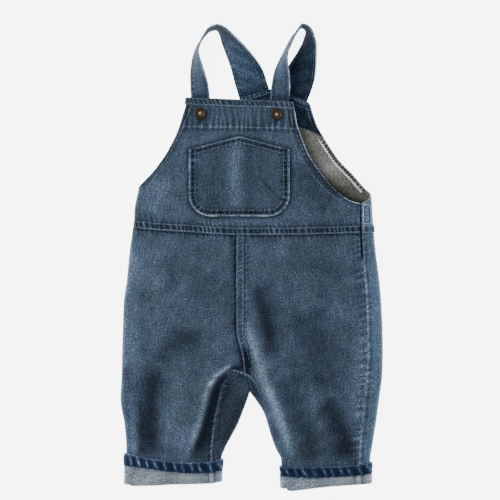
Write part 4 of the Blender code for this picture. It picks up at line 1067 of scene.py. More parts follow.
def top_fade_and_shade(grid):
    """How faded the front is at each point, with painted shade and highlight: lighter on the crests of the
    folds and darker in their hollows.
    """
    x, y = grid[:, :, 0], grid[:, :, 1]
    # Painted shade and highlight, from the heights of the creases
    relief = along_lines(x, y, CREASES) * 0.012 + along_lines(x, y, FINE_CREASES) * 0.06
    return faded_and_shaded(x, y) + relief


def back_seams(x, y):
    """Relief, wear and painted shade of the underside: its felled seams, and where it has been sat on."""
    relief, wear_and_shade = -along_lines(x, y, UNDER_CREASES), faded_and_shaded(x, y, UNDER_FADES)
    seams = [[(row[1], row[0]) for row in BACK_RISE], [(-140, 38.0), (150, 36.5)]]
    for number, points in enumerate(seams):
        gap, _, place, _ = path_field(x, y, points)
        wave = ripple(place, 6.1, 0.4 + number) - 0.5
        band = np.exp(-(gap / 4.0) ** 4)
        relief -= 0.35 * band * (wave + 0.5)
        wear_and_shade += band * (0.55 * wave - 0.10)
        # Beside each seam a pale rubbed line, then a darker band of painted shade
        wear_and_shade += edge_shade(gap - 4.6, 1.2, 0.35) - edge_shade(gap - 7.0, 1.8, 0.22)
    return relief, wear_and_shade


# The panels

def make_bib():
    """The bib and the front of the bodice."""
    grid = grid_of(bib_lines())
    x, y = grid[:, :, 0], grid[:, :, 1]
    relief, wear_and_shade = seam_relief(x, y, "bib_front")
    hem = np.where(y > 150.0, np.exp(-((y - 183.0) / 13.0) ** 2), 0.0)
    pleats = ripple(x + 0.06 * y, 7.8, 0.4) * 0.6 + ripple(x - 0.05 * y, 5.3, 2.0) * 0.4 - 0.5
    relief += 0.7 * hem * pleats
    wear_and_shade = wear_and_shade + 0.42 * hem * pleats + top_fade_and_shade(grid)
    on_edge = ease((y - 66.0) / 4.0)
    # Each armhole edge is rubbed pale; the dark bands beside its lines are painted shade
    for rim, strength in (("first", 0.75), ("last", 0.85)):
        gap = rim_gap(grid, rim)
        wear_and_shade += on_edge * (edge_shade(gap, 1.5, strength) - edge_shade(gap - 3.8, 1.9, 0.38)
                           + edge_shade(gap - 6.4, 1.2, 0.24) - edge_shade(gap - 9.0, 2.0, 0.22))
        relief += on_edge * (edge_shade(gap, 2.2, 0.35) - edge_shade(gap - 6.6, 1.3, 0.30))
    # Painted shadow of the waist seam's strip on the bib, just above it
    wear_and_shade -= edge_shade(rim_gap(grid, "foot") - 5.6, 1.2, 0.22)
    facing = line_distance(x, y, FACING_LINE)
    wear_and_shade += edge_shade(facing, 1.3, 0.30)
    # Painted shadow just below the facing's stitched line
    wear_and_shade -= edge_shade(line_distance(x, y + 3.4, FACING_LINE), 1.8, 0.16)
    relief -= edge_shade(facing, 1.4, 0.35)
    # Painted shadow of the pocket on the bib, round its sides, foot and top
    pocket_shadow_gap = np.minimum(line_distance(x, y, pocket_outline(-2.2)), line_distance(x, y, POCKET_TOP))
    wear_and_shade -= edge_shade(pocket_shadow_gap, 2.2, 0.30)
    wear_and_shade = np.where(normals_of(grid)[:, :, 2] < -0.3, 0.0, wear_and_shade)
    piece = cloth("bib_front_cloth", grid, DENIM, wear_and_shade, [washed_denim, wrong_side, washed_denim],
                  "last", relief=relief)
    settle(piece, "bib_front")


def make_back():
    """The back bodice, whose inside shows at the right armhole."""
    grid = grid_of(back_lines())
    x, y, z = np.moveaxis(grid, 2, 0)
    on_table, on_top = z < 3.0, z > 4.0
    wear_and_shade = 0.10 * np.sin(x * 0.06) * np.sin(y * 0.05)
    wear_and_shade += edge_shade(rim_gap(grid, "last"), 1.6, 0.5) * ease((y - 66.0) / 4.0)
    # Painted shade inside the back: darker lower down under the bib, and a painted shadow beside the bib's
    # right edge
    wear_and_shade -= 0.30 * ease((112.0 - y) / 34.0) * on_table
    wear_and_shade -= edge_shade(line_distance(x, y, BIB_EDGE_RIGHT), 7.0, 0.45) * on_table
    placket, tint = seam_relief(x, y, "back_bodice")
    under_relief, underside_wear_and_shade = back_seams(x, y)
    wear_and_shade += np.where(on_top, 0.18 + tint, underside_wear_and_shade)
    piece = cloth("back_bodice_cloth", grid, DENIM, wear_and_shade, [pale_denim, inside_back, washed_denim],
                  outward=-1.0, relief=np.where(on_top, placket, under_relief))
    settle(piece, "back_bodice")


def make_front_leg(leg):
    """A front leg panel."""
    name = "leg_front_" + leg
    grid = grid_of(front_leg_lines(leg))
    x, y = grid[:, :, 0], grid[:, :, 1]
    relief, wear_and_shade = seam_relief(x, y, name)
    wear_and_shade += top_fade_and_shade(grid)
    gap = rim_gap(grid, "last")
    if leg == "left":
        below = ease((-150.0 - y) / 4.0)
        # Below the centre seam's end the inner edge is rubbed pale with painted shade beside it; above, a
        # painted shadow of the centre seam's strip
        wear_and_shade += edge_shade(gap, 1.4, 0.60) * below - edge_shade(gap - 3.8, 2.0, 0.18) * below
        wear_and_shade -= (edge_shade(gap - 5.8, 1.5, 0.55) + edge_shade(gap - 9.0, 4.0, 0.12)) * (1.0 - below)
    else:
        # Pale lines at the side seam with painted shade between them, and painted shadow at the slit above
        # the hip
        wear_and_shade += edge_shade(gap - 1.2, 1.5, 0.30) + edge_shade(gap - 6.6, 1.4, 0.16)
        wear_and_shade -= edge_shade(gap - 3.8, 1.6, 0.14) + edge_shade(gap, 1.6, 0.45) * above_hip(y)
    # Painted shadow of the waist seam's strip, just below it
    wear_and_shade -= edge_shade(rim_gap(grid, "foot") - 5.8, 1.5, 0.40)
    facing = normals_of(grid)[:, :, 2]
    wear_and_shade = np.where(facing * np.sign(facing.mean()) < -0.2, 0.0, wear_and_shade)
    piece = cloth(name + "_cloth", grid, DENIM, wear_and_shade, [washed_denim, wrong_side, washed_denim],
                  "first" if leg == "left" else "last", relief=relief)
    settle(piece, name)


def make_back_leg(leg):
    """A back leg panel."""
    name = "leg_back_" + leg
    grid = grid_of(back_leg_lines(leg))
    x, y, z = np.moveaxis(grid, 2, 0)
    on_top, on_table = z > under_height(y) + 5.0, z < under_height(y) + 0.5
    relief, wear_and_shade = seam_relief(x, y, name)
    if leg == "left":
        material = washed_denim
        # Wear, painted shade and highlight from the front's lines, and darker overall as painted shade: this
        # back shows only in the fold between the legs
        wear_and_shade += faded_and_shaded(x, y) - 0.16
    else:
        material = pale_denim
        gap = rim_gap(grid, "last")
        wear_and_shade += 0.5 * faded_and_shaded(x, y) + 0.08
        # A pale line along the side edge with painted shade beside it, a painted shadow in the slit above the
        # hip, and painted shade towards the crotch
        wear_and_shade += edge_shade(gap - 0.8, 1.5, 0.34) - edge_shade(gap - 4.2, 2.2, 0.18)
        wear_and_shade -= edge_shade(gap, 1.6, 0.45) * above_hip(y)
        wear_and_shade -= 0.45 * ease((32.0 - x) / 30.0) * ease((-150.0 - y) / 10.0)
    under_relief, underside_wear_and_shade = back_seams(x, y)
    relief = np.where(on_top, relief, np.where(on_table, under_relief, 0.0))
    wear_and_shade = np.where(on_top, wear_and_shade, np.where(on_table, underside_wear_and_shade, 0.0))
    piece = cloth(name + "_cloth", grid, DENIM, wear_and_shade, [material, wrong_side, material],
                  "last", outward=-1.0, relief=relief)
    settle(piece, name)


def make_cuff(leg):
    """A turned-up cuff: the grey wrong side, thicker over the leg's seam."""
    grid = grid_of(cuff_lines(leg))
    gap, place = rim_gap(grid, "foot"), rim_gap(grid, "first")
    relief = 0.5 * (ripple(place + gap * 0.5, 13.0, 0.7) - 0.5) * ease((gap - 8.0) / 6.0)
    from_seam = grid[:, :, 0] - CUFF_SEAM_X[leg]
    on_seam = (grid[:, :, 2] > 8.0) * ease((gap - 5.0) / 4.0)
    relief += on_seam * edge_shade(from_seam, 2.8, 0.9)
    wear_and_shade = 0.08 * np.sin(place * 0.13) + 0.35 * relief
    # Painted shade where the cuff goes under the hem band, and painted shadow beside the ridge of the leg's
    # seam
    wear_and_shade += edge_shade(gap - 12.5, 2.0, 0.14) - edge_shade(rim_gap(grid, "top"), 2.2, 0.35)
    wear_and_shade -= on_seam * edge_shade(np.abs(from_seam) - 4.2, 1.3, 0.5)
    name = "cuff_" + leg
    piece = cloth(name + "_cloth", grid, DENIM, wear_and_shade, [wrong_side, wrong_side], ring=True, relief=relief)
    settle(piece, name)


def make_hem(leg):
    """The navy hem band of a cuff, which the wash has drawn into slanting ropes."""
    grid = grid_of(band_lines(leg))
    up = np.linspace(0.0, 1.0, len(grid))[:, None]
    place = rim_gap(grid, "first")
    leaning = place - 7.0 * up
    uneven = 1.1 * np.sin(place * 0.11) + 0.8 * np.sin(place * 0.31)
    rope = (0.5 + 0.5 * np.cos(2.0 * math.pi * (leaning + uneven) / 11.4)) ** 3.4
    fine = ripple(leaning, 5.3, 3.1)
    middle = np.sin(math.pi * up) ** 0.7
    relief = (1.7 * rope + 0.4 * fine - 0.95) * middle
    wear_and_shade = (0.74 * rope + 0.16 * fine - 0.24) * middle + edge_shade(1.0 - up, 0.12, 0.44)
    wear_and_shade += edge_shade(up - 0.10, 0.07, 0.18) * fine
    if leg == "right":
        wear_and_shade -= 0.08
    name = "hem_" + leg
    piece = cloth(name + "_cloth", grid, BAND, wear_and_shade, [navy_denim, navy_denim], ring=True, relief=relief)
    settle(piece, name)


def strap_stations(stations):
    """Smooth stations of a strap: centre, width and roll, with the heights worked out."""
    table = []
    for x, y, width, roll, foot in stations:
        angle = math.radians(roll)
        half = width / 2 * math.sin(angle) + STRAP / 2 * abs(math.cos(angle))
        if foot is None:
            spots = x + width * np.array([-0.5, 0.0, 0.5])
            middle = over_height(spots, y, False).min() - DENIM / 2 - OVERLAY_GAP - 0.2 - half
        else:
            middle = foot + half
        table.append((x, y, middle, width, roll))
    return rows_between(table, 2.6)


# How each strap starts and looks: its way along x and y, phase of the puckers, lean of the stripes, tone
STRAP_LOOKS = {"left": (-0.298, 0.954, 0.5, 0.9, 0.16), "right": (0.378, 0.926, 1.9, -0.9, -0.12)}


def make_strap(side, stations):
    """A strap from the back over the shoulder's loop and down to its button, and its stitch lines."""
    way_x, way_y, phase, lean, tone = STRAP_LOOKS[side]
    rows = strap_stations(stations)
    way = np.gradient(rows[:, :2], axis=0)
    way[0] = way_x, way_y
    way = np.insert(unit(way), 2, 0.0, axis=1)
    inside = np.stack([-way[:, 1], way[:, 0], np.zeros(len(rows))], axis=1)
    angle = np.radians(rows[:, 4:5])
    across = np.cross(way, np.array([[0.0, 0.0, 1.0]]) * np.cos(angle) + inside * np.sin(angle))
    share = np.linspace(-0.5, 0.5, 25)
    spread = rows[:, 3:4] * share
    grid = rows[:, None, :3] + across[:, None, :] * spread[:, :, None]
    normal = normals_of(grid)
    y, up = grid[:, :, 1], normal[:, :, 2]
    gap = np.minimum(rim_gap(grid, "first"), rim_gap(grid, "last"))
    place = rim_gap(grid, "foot")
    band = np.exp(-((gap - 3.4) / 3.0) ** 2)
    wear_and_shade = 0.42 * band * (ripple(place, 6.4, phase) - 0.5)
    # A pale rubbed edge with a band of painted shade beside it
    wear_and_shade += edge_shade(gap, 1.1, 0.62) - edge_shade(gap - 2.6, 1.3, 0.30)
    wear_and_shade += 0.08 * np.sin(place * 0.05) - 0.25 * ease((14.0 - place) / 14.0)
    slanted = place + spread * lean
    stripes = 0.07 * np.sin(slanted * 0.27) + 0.04 * np.sin(slanted * 0.62 + 1.0)
    wear_and_shade += stripes * ease((92.0 - place) / 30.0)
    wear_and_shade += tone * ease((100.0 - place) / 30.0)
    # Painted shade where the strap stands on edge, and a painted shadow where it goes behind the bib's top
    wear_and_shade -= 0.34 * (1.0 - np.abs(up)) * ease((place - 90.0) / 20.0)
    wear_and_shade -= 0.30 * ease((210.0 - y) / 5.0) * ease((place - 150.0) / 10.0)
    # The strap turns over, so its outside is told by how it lies near its start
    outward = np.sign(up[4, 12] * up.mean())
    piece = cloth("strap_" + side + "_cloth", grid, STRAP, wear_and_shade, [dark_denim, washed_denim, pale_denim],
                  outward=outward, relief=np.zeros_like(gap))
    settle(piece, "strap_" + side)
    out = STRAP / 2 + 0.1
    return [grid[:, column] + normal[:, column] * face * out for column in (2, 22) for face in (1.0, -1.0)]


def make_pocket():
    """The patch pocket: a peaked top, round lower corners, and stitching that puckers its edge."""
    heights = np.concatenate([[0.0, 0.6, 1.6, 3.0], np.arange(4.6, POCKET_RISE, 1.5), [POCKET_RISE]])
    t = np.linspace(0.0, 1.0, 80)
    rows = []
    for height in heights:
        drop = max(POCKET_CORNER - height, 0.0)
        inset = POCKET_CORNER - math.sqrt(POCKET_CORNER ** 2 - drop ** 2)
        share = height / POCKET_RISE
        x = POCKET_LEFT + inset + (POCKET_RIGHT - POCKET_LEFT - 2 * inset) * t
        peak = POCKET_POINT * share * share * (1.0 - np.abs(2.0 * t - 1.0))
        rows.append(over(x, POCKET_FOOT + height + peak, DENIM + OVERLAY_GAP))
    grid = np.stack(rows)
    x, y = grid[:, :, 0], grid[:, :, 1]
    gap, _, place, _ = path_field(x, y, pocket_outline(0.0))
    top = y - (POCKET_PEAK - POCKET_POINT * np.abs(x - POCKET_MIDDLE) / POCKET_HALF)
    wave, fine = ripple(place, 6.3, 0.8) - 0.5, ripple(x, 5.4, 1.5) - 0.5
    side_band = np.exp(-((gap - 5.0) / 4.6) ** 2)
    top_band = np.exp(-((top + 4.8) / 3.4) ** 2)
    relief = 0.7 * side_band * wave + 0.35 * top_band * fine
    wear_and_shade = side_band * (1.05 * wave - 0.10) + top_band * (0.75 * fine - 0.08) - 0.07
    rub = 0.85 + 0.15 * np.sin(place * 0.09) + 0.15 * np.sin(place * 0.31 + 1.0)
    # Pale rubbed edges, each with a band of painted shade just inside it
    wear_and_shade += edge_shade(gap, 1.3, 1.0) * rub - edge_shade(gap - 3.2, 1.7, 0.26)
    wear_and_shade += edge_shade(top, 1.3, 0.62) - edge_shade(top + 3.0, 1.5, 0.30)
    wear_and_shade += edge_shade(x + 21.0, 8.0, 0.24) * ease((y - 60.0) / 12.0)
    wear_and_shade -= edge_shade(x + 3.0, 6.0, 0.12) + edge_shade(x + 46.0, 10.0, 0.06)
    corner = line_distance(x, y, [(40, 66), (18, 88)])
    crumpled = edge_shade(corner, 12.0, 1.0) * (ripple(x + y, 8.0, 0.2) - 0.5)
    wear_and_shade += 0.35 * crumpled
    relief += 0.5 * crumpled + edge_shade(gap, 1.4, 0.25)
    piece = cloth("bib_pocket_cloth", grid, DENIM, wear_and_shade, [washed_denim, wrong_side, washed_denim],
                  relief=relief)
    settle(piece, "bib_pocket")


def pocket_outline(inset):
    """The pocket's sides and foot as points, moved in."""
    left, right, foot = POCKET_LEFT + inset, POCKET_RIGHT - inset, POCKET_FOOT + POCKET_CORNER
    radius = POCKET_CORNER - inset
    points = [(left, POCKET_SHOULDER), (left, foot)]
    corners = ((POCKET_LEFT + POCKET_CORNER, math.pi), (POCKET_RIGHT - POCKET_CORNER, 1.5 * math.pi))
    for centre_x, start in corners:
        for step in range(9):
            angle = start + step * math.pi / 16
            points.append((centre_x + radius * math.cos(angle), foot + radius * math.sin(angle)))
    return points + [(right, foot), (right, POCKET_SHOULDER)]


# The strips that are sewn on the panels

HEM_HALF = 4.3                                          # half the width of the bib's top hem
ACROSS = np.linspace(-1.0, 1.0, 13)                     # from one edge of a felled seam to the other
SEAM_OUT = DENIM / 2 + OVERLAY_GAP + STRIP / 2          # from a panel's middle to a felled seam's


def seam_form(share, place, pitch, phase):
    """The puckers across a felled seam, and the grooves of its two rows of stitching."""
    puckers = (ripple(place, pitch, phase) - 0.5) * np.cos(share * math.pi / 2) ** 0.6
    return puckers, edge_shade(np.abs(share) - 0.72, 0.12, 0.25)


def strip_along(node, panel, points, half, out, pitch, slant, strength, painted_shade=None):
    """A felled seam or turned hem that follows a line of the upper layer, with puckers across it."""
    track, at = smooth_track(points)
    spread = ACROSS * half(track[:, 1])[:, None]
    x, y = beside(track, spread)
    puckers, grooves = seam_form(ACROSS, at[:, None] + slant * spread, pitch, pitch)
    wear_and_shade = strength * 0.62 * puckers - 0.06
    wear_and_shade += edge_shade(ACROSS + 0.97, 0.11, 0.50) + edge_shade(ACROSS - 0.97, 0.11, 0.36)
    # An optional painted shadow over the strip
    if painted_shade:
        wear_and_shade = wear_and_shade + painted_shade(y, ACROSS)
    piece = cloth(node + "_cloth", over(x, y, out), STRIP, wear_and_shade, [washed_denim, washed_denim],
                  relief=strength * 0.8 * puckers - grooves)
    sew_on(piece, panel, node)


def make_waist_seam():
    """The felled seam at the waist: on the front, and where the back comes round on top."""
    level = waist_line(WAIST_LEVEL)
    start = sweep("left", level, -5.0, 0.0)[0]
    end_x = float(side_seam("right", float(level(138.0)), "front")) - 0.3
    x = np.linspace(start[-1][0], end_x, 280)
    front, back = [], []
    for share in ACROSS:
        line_y = shifted(level, share * (SEAM_WIDTH / 2))
        top = over(x, line_y(x), SEAM_OUT), np.ones(len(x))
        front.append(share_out(join(sweep("left", line_y, -5.0, 0.0, SEAM_OUT), top), 310))
        edge_y = line_y(fold_edge("right", WAIST_LEVEL)[0])
        reach = reach_over("right", side_seam("right", float(line_y(140.0)), "back") + 0.3, edge_y)
        back.append(share_out(sweep("right", line_y, float(reach), -10.0, SEAM_OUT), 24))
    share = ACROSS[:, None]
    foot = edge_shade(share + 0.95, 0.12, 0.60)
    grid = np.stack(front)
    puckers, grooves = seam_form(share, rim_gap(grid, "first") + share * 1.2, 6.1, 0.3)
    wear_and_shade = 0.95 * puckers - 0.16 + foot + edge_shade(share - 0.9, 0.12, 0.34)
    piece = cloth("waist_seam_front_cloth", grid, STRIP, wear_and_shade, [washed_denim, washed_denim],
                  relief=0.75 * puckers - grooves)
    sew_on(piece, "bib_front", "waist_seam_front")
    grid = np.stack(back)
    puckers, _ = seam_form(share, rim_gap(grid, "first"), 5.5, 1.3)
    wear_and_shade = 0.7 * puckers - 0.05 + foot + edge_shade(share - 0.9, 0.12, 0.5)
    piece = cloth("waist_seam_back_cloth", grid, STRIP, wear_and_shade, [pale_denim, pale_denim],
                  relief=0.5 * puckers)
    sew_on(piece, "back_bodice", "waist_seam_back")


def make_rise_seam():
    """The centre front's felled seam, narrower towards the crotch, with painted shadow on it there."""
    points = [(float(curve(FRONT_RISE, y)), float(y)) for y in np.linspace(28.6, -147.0, 60)]

    def half(y):
        return SEAM_WIDTH / 2 * (1.0 - 0.4 * ease((-112.0 - y) / 34.0))

    def painted_shade(y, share):
        return -0.75 * ease((-108.0 - y) / 16.0) * ease((share + 0.75) / 0.5)
    strip_along("rise_seam_front", "leg_front_left", points, half, SEAM_OUT + 0.2, 5.6, 0.3, 0.55, painted_shade)


def make_crotch_seam():
    """The felled seam that crosses under the centre seam's end and turns in to the right leg."""
    out = SEAM_OUT + 0.5
    ridge = [(-25, -141.5), (-18, -144.0), (-9, -147.5), (-1, -152.5), (4.5, -160.0), (8.5, -168.0),
             (11.5, -175.0)]
    track = track_over(ridge, out)
    share = np.linspace(-1.0, 1.0, 9)
    taper = 2.4 * np.sin(np.linspace(0.25, 2.9, len(track))) ** 0.5
    x, y = beside(track, share * taper[:, None])
    grid = over(x, y, out)
    wave = ripple(rim_gap(grid, "foot"), 4.2, 0.6) - 0.5
    # A pale line along one edge, and painted shade along the other
    wear_and_shade = 0.10 + 0.7 * wave + edge_shade(share - 0.9, 0.2, 0.45) - edge_shade(share + 0.8, 0.3, 0.55)
    piece = cloth("crotch_seam", grid, STRIP, wear_and_shade, [washed_denim, washed_denim], relief=0.4 * wave)
    sew_on(piece, "leg_front_left")


def make_bib_hem():
    """The bib's top hem."""
    hem = [(-84.4, 199.3), (-60, 198.1), (-20, 196.6), (20, 195.4), (52.6, 193.6)]

    def half(y):
        return np.full(len(y), HEM_HALF)
    strip_along("bib_top_hem", "bib_front", hem, half, SEAM_OUT, 5.7, 0.5, 1.35)


def armhole_edge(side):
    """The back's edge at an armhole, from low down up to the facing."""
    table = []
    for row in BACK[8:14]:
        x, y = (row[0], row[1]) if side == "left" else (around("right", row[4], row[3])[0], row[4])
        table.append((float(x), float(y) - (1.0 if row is BACK[13] else 0.0)))
    return rows_between(table, 1.0)


def make_facing():
    """The navy facing inside the back."""
    table = []
    for left_x, left_y, middle_y, reach, right_y, roundness in BACK[-4:]:
        right_x = around("right", right_y, reach)[0] - 1.5
        table.append((left_x + 1.5, left_y - 0.8, middle_y - 0.8, right_x, right_y - 0.8, roundness))
    t = np.linspace(0.0, 1.0, 60)
    rows = []
    for left_x, left_y, middle_y, right_x, right_y, roundness in rows_between(table):
        x = left_x + (right_x - left_x) * t
        rows.append(points_at(x, bow(left_y, middle_y, right_y, t, roundness), INSIDE_LEVEL))
    grid = np.stack(rows)
    x, y = grid[:, :, 0], grid[:, :, 1]
    top, side = rim_gap(grid, "top"), rim_gap(grid, "last")
    wear_and_shade = edge_shade(top - 1.0, 1.4, 0.5) + edge_shade(top - 7.5, 0.9, 0.6)
    wear_and_shade += edge_shade(side - 1.0, 1.3, 0.3) + edge_shade(side - 5.6, 0.9, 0.75)
    wear_and_shade += 0.45 * (ripple(rim_gap(grid, "foot"), 5.0, 1.1) - 0.5) * (side < 5.0)
    wear_and_shade += 0.16 * np.sin(x * 0.31) * np.sin(y * 0.23) - 0.22
    piece = cloth("back_facing_cloth", grid, STRIP, wear_and_shade, [dark_denim, dark_denim])
    settle(piece, "back_facing")


def make_armhole_hem(side):
    """The overlocked hem of an armhole inside the back."""
    way_in = -1.0 if side == "left" else 1.0
    share = np.linspace(0.0, 1.0, 10)
    grid = points_at(*beside(armhole_edge(side), way_in * (0.8 + 6.0 * share)), INSIDE_LEVEL)
    place = rim_gap(grid, "foot")
    wear_and_shade = 0.8 * (ripple(place, 4.6, 0.9) - 0.5) + 0.3 * np.sin(place * 2.3) * np.sin(share * 7.0) - 0.34
    wear_and_shade += edge_shade(share, 0.14, 0.4)
    name = "armhole_hem_" + side
    piece = cloth(name + "_cloth", grid, STRIP, wear_and_shade, [inside_back, inside_back],
                  relief=0.3 * (ripple(place, 5.2, 0.9) - 0.5) * np.sin(share * math.pi))
    sew_on(piece, "back_bodice", name)


def make_back_top_hem():
    """The hem at the top of the back, over its facing."""
    top = BACK[-1]
    edge = [(top[0] + 1.0, top[1]), (30.0, 215.4), (around("right", top[4], top[3])[0] - 1.0, top[4])]
    points = dense([(x, y - 1.6) for x, y in edge])
    track = [np.convolve(np.pad(column, 4, "edge"), np.ones(9) / 9, "valid") for column in points.T]
    share = np.linspace(-1.0, 1.0, 9)
    grid = points_at(*beside(np.stack(track, axis=1), 3.0 * share), INSIDE_LEVEL + STRIP + 0.35)
    wave = ripple(rim_gap(grid, "foot"), 5.4, 0.2) - 0.5
    wear_and_shade = 0.12 + 0.35 * wave + edge_shade(share - 0.9, 0.16, 0.4)
    piece = cloth("back_top_hem", grid, STRIP, wear_and_shade, [dark_denim, dark_denim],
                  relief=0.3 * wave * np.cos(share * math.pi / 2))
    sew_on(piece, "back_bodice")


# Thread

def thread(name, code, other):
    """Spun cotton thread, a little lighter where it is rubbed, and matt as its fibres stand up."""
    material, tree, shader = blank(name)
    place = add(tree, "ShaderNodeTexCoord").outputs["Object"]
    rubbed = add(tree, "ShaderNodeTexNoise", Vector=place, Scale=260.0, Detail=2.0).outputs["Fac"]
    colour = add(tree, "ShaderNodeValToRGB", stops=[(0.35, code), (0.65, other)], Fac=rubbed)
    bump = add(tree, "ShaderNodeBump", Strength=0.3, Distance=0.0001, Height=rubbed)
    fit(tree, shader, Base_Color=colour.outputs["Color"], Normal=bump.outputs[0], Roughness=0.85,
        Specular_IOR_Level=0.1)
    return material


# Twisted topstitching cotton, dyed blue and washed with the cloth until it is paler than it
pale_thread = thread("pale_blue_cotton_thread", "#506276", "#8c9db0")
# Bleached overlock thread, laid in loops: the brightest line inside
white_thread = thread("white_overlock_thread", "#c6cbcc", "#ffffff")
# Navy cotton, unfaded: it sinks into the hem bands and the buttonholes as thin dark lines
dark_thread = thread("navy_cotton_thread", "#0e1520", "#263344")


def spaced(track, pitch):
    """Points at even spaces along a line of points in space, and the way the line runs there."""
    track = np.asarray(track, dtype=float)
    marks = running(np.linalg.norm(np.diff(track, axis=0), axis=1))
    at = np.arange(pitch / 2, marks[-1], pitch)

    def points_along(at):
        return np.stack([np.interp(at, marks, column) for column in track.T], axis=1)
    return points_along(at), unit(points_along(at + 0.6) - points_along(at - 0.6))


def stitches(name, panel, tracks, material, pitch=3.3, length=2.5, width=0.7, lean=0.0):
    """Rows of stitches: a short rounded length of thread for each, sunk a little in the cloth."""
    deselect()
    bpy.ops.mesh.primitive_uv_sphere_add(segments=6, ring_count=5, radius=1.0)
    piece = bpy.context.object
    piece.name = piece.data.name = name
    mesh = piece.data
    shape = np.array([v.co for v in mesh.vertices])
    faces = [tuple(face.vertices) for face in mesh.polygons]
    spots, ways = [], []
    for track in tracks:
        points, way = spaced(track, pitch)
        if lean:
            turn = np.where(np.arange(len(way)) % 2 == 0, lean, -lean)
            cos, sin = np.cos(turn), np.sin(turn)
            x, y, z = way.T
            way = np.stack([x * cos - y * sin, x * sin + y * cos, z], axis=1)
        spots.append(points)
        ways.append(way)
    spots, ways = np.concatenate(spots), np.concatenate(ways)
    spots[:, 2] = np.maximum(spots[:, 2], width / 2)
    up = np.tile([0.0, 0.0, 1.0], (len(ways), 1))
    steep = np.abs(ways[:, 2]) > 0.9
    up[steep] = [1.0, 0.0, 0.0]
    across = unit(np.cross(up, ways))
    up = np.cross(ways, across)
    squashed = np.sign(shape[:, 2:]) * np.abs(shape[:, 2:]) ** 0.6
    points = spots[:, None] + ways[:, None] * (squashed * length / 2)[None]
    points = points + across[:, None] * (shape[:, 0:1] * width / 2)[None]
    points = points + up[:, None] * (shape[:, 1:2] * width / 2)[None]
    points = (points.reshape(-1, 3) - BOX_CENTRE) * MM
    count = len(shape)
    everything = [tuple(k + i * count for k in face) for i in range(len(spots)) for face in faces]
    mesh.clear_geometry()
    mesh.from_pydata(points.tolist(), [], everything)
    mesh.materials.append(material)
    bpy.ops.object.shade_smooth()
    mesh.update()
    sew_on(piece, panel)


def track_over(points, out, shift=0.0):
    """A smooth line on the upper layer through some points, moved sideways and raised."""
    x, y = beside(smooth_track(points, 2)[0], shift)
    return over(x[:, 0], y[:, 0], out)


def make_stitches(strap_tracks):
    """All the thread that shows."""
    on_panel, on_strip = DENIM / 2 + 0.15, DENIM / 2 + OVERLAY_GAP + STRIP + 0.1
    level = waist_line(WAIST_LEVEL)
    x = np.linspace(-148.0, 137.0, 250)
    waist = [over(x, level(x) + shift, on_strip) for shift in (3.3, -3.3)]
    rise = [(float(curve(FRONT_RISE, y)), float(y)) for y in np.linspace(28.0, -130.0, 40)]
    hem = [(-84.0, 196.0), (-60, 194.9), (-20, 193.4), (20, 192.2), (52.0, 190.4)]
    flap = [(POCKET_LEFT + 3, POCKET_SHOULDER - 6), (POCKET_MIDDLE, POCKET_PEAK - 6.5),
            (POCKET_RIGHT - 3, POCKET_SHOULDER - 6)]
    pocket = [over(*dense(line).T, DENIM * 1.5 + OVERLAY_GAP + 0.15)
              for line in (pocket_outline(2.2), pocket_outline(7.6), flap)]
    # Rows of topstitching: name, node, panel and the lines they follow
    topstitching = [
        ("waist_stitches", "waist_seam_front", "bib_front", waist),
        ("rise_stitches", "rise_seam_front", "leg_front_left",
         [track_over(rise, on_strip, 3.0), track_over(rise, on_strip, -3.0)]),
        ("bib_stitches", "bib_front", "bib_front",
         [track_over(FACING_LINE, on_panel), track_over(hem, on_strip)]),
        ("armhole_stitches", "bib_front", "bib_front",
         [track_over(BIB_EDGE_LEFT, on_panel, 6.6), track_over(BIB_EDGE_RIGHT, on_panel, -6.6)]),
        ("pocket_stitches", "bib_pocket", "bib_pocket", pocket),
        ("side_stitches", "leg_front_right", "leg_front_right", [track_over(SIDE_LINE, on_panel, -1.2)])]
    for side, tracks in strap_tracks.items():
        node = "strap_" + side
        topstitching.append((node + "_stitches", node, node, tracks))
    for name, node, panel, tracks in topstitching:
        stitches(name, panel, tracks, pale_thread)
    for leg in ("left", "right"):
        node = "hem_" + leg
        ring, _ = leg_ring(leg, cuff_line(leg, BAND_FOOT, 2.65), DENIM / 2 + CUFF_GAP + BAND + 0.1)
        stitches(node + "_stitches", node, [ring], dark_thread)
    x, y = beside(armhole_edge("right"), np.array([6.2, 6.9]))
    loops = [points_at(x[:, k], y[:, k], DENIM + STRIP + 0.6) for k in (0, 1)]
    stitches("overlock_threads", "back_bodice", loops, white_thread,
             pitch=1.8, length=3.2, width=1.25, lean=0.8)
    top = dense([(-14.0, 200.0), (30.0, 212.4), (73.0, 194.6)])
    stitches("back_top_stitches", "back_facing",
             [points_at(*top.T, DENIM + 2 * STRIP + 0.9)], pale_thread)
    holes = [over(x + shift, np.linspace(y - 5.0, y - 12.5, 20), on_panel + 0.15)
             for _, x, y in BUTTONS for shift in (-0.8, 0.8)]
    stitches("buttonhole_threads", "bib_front", holes, dark_thread,
             pitch=0.7, length=1.5, width=0.5, lean=math.pi / 2)


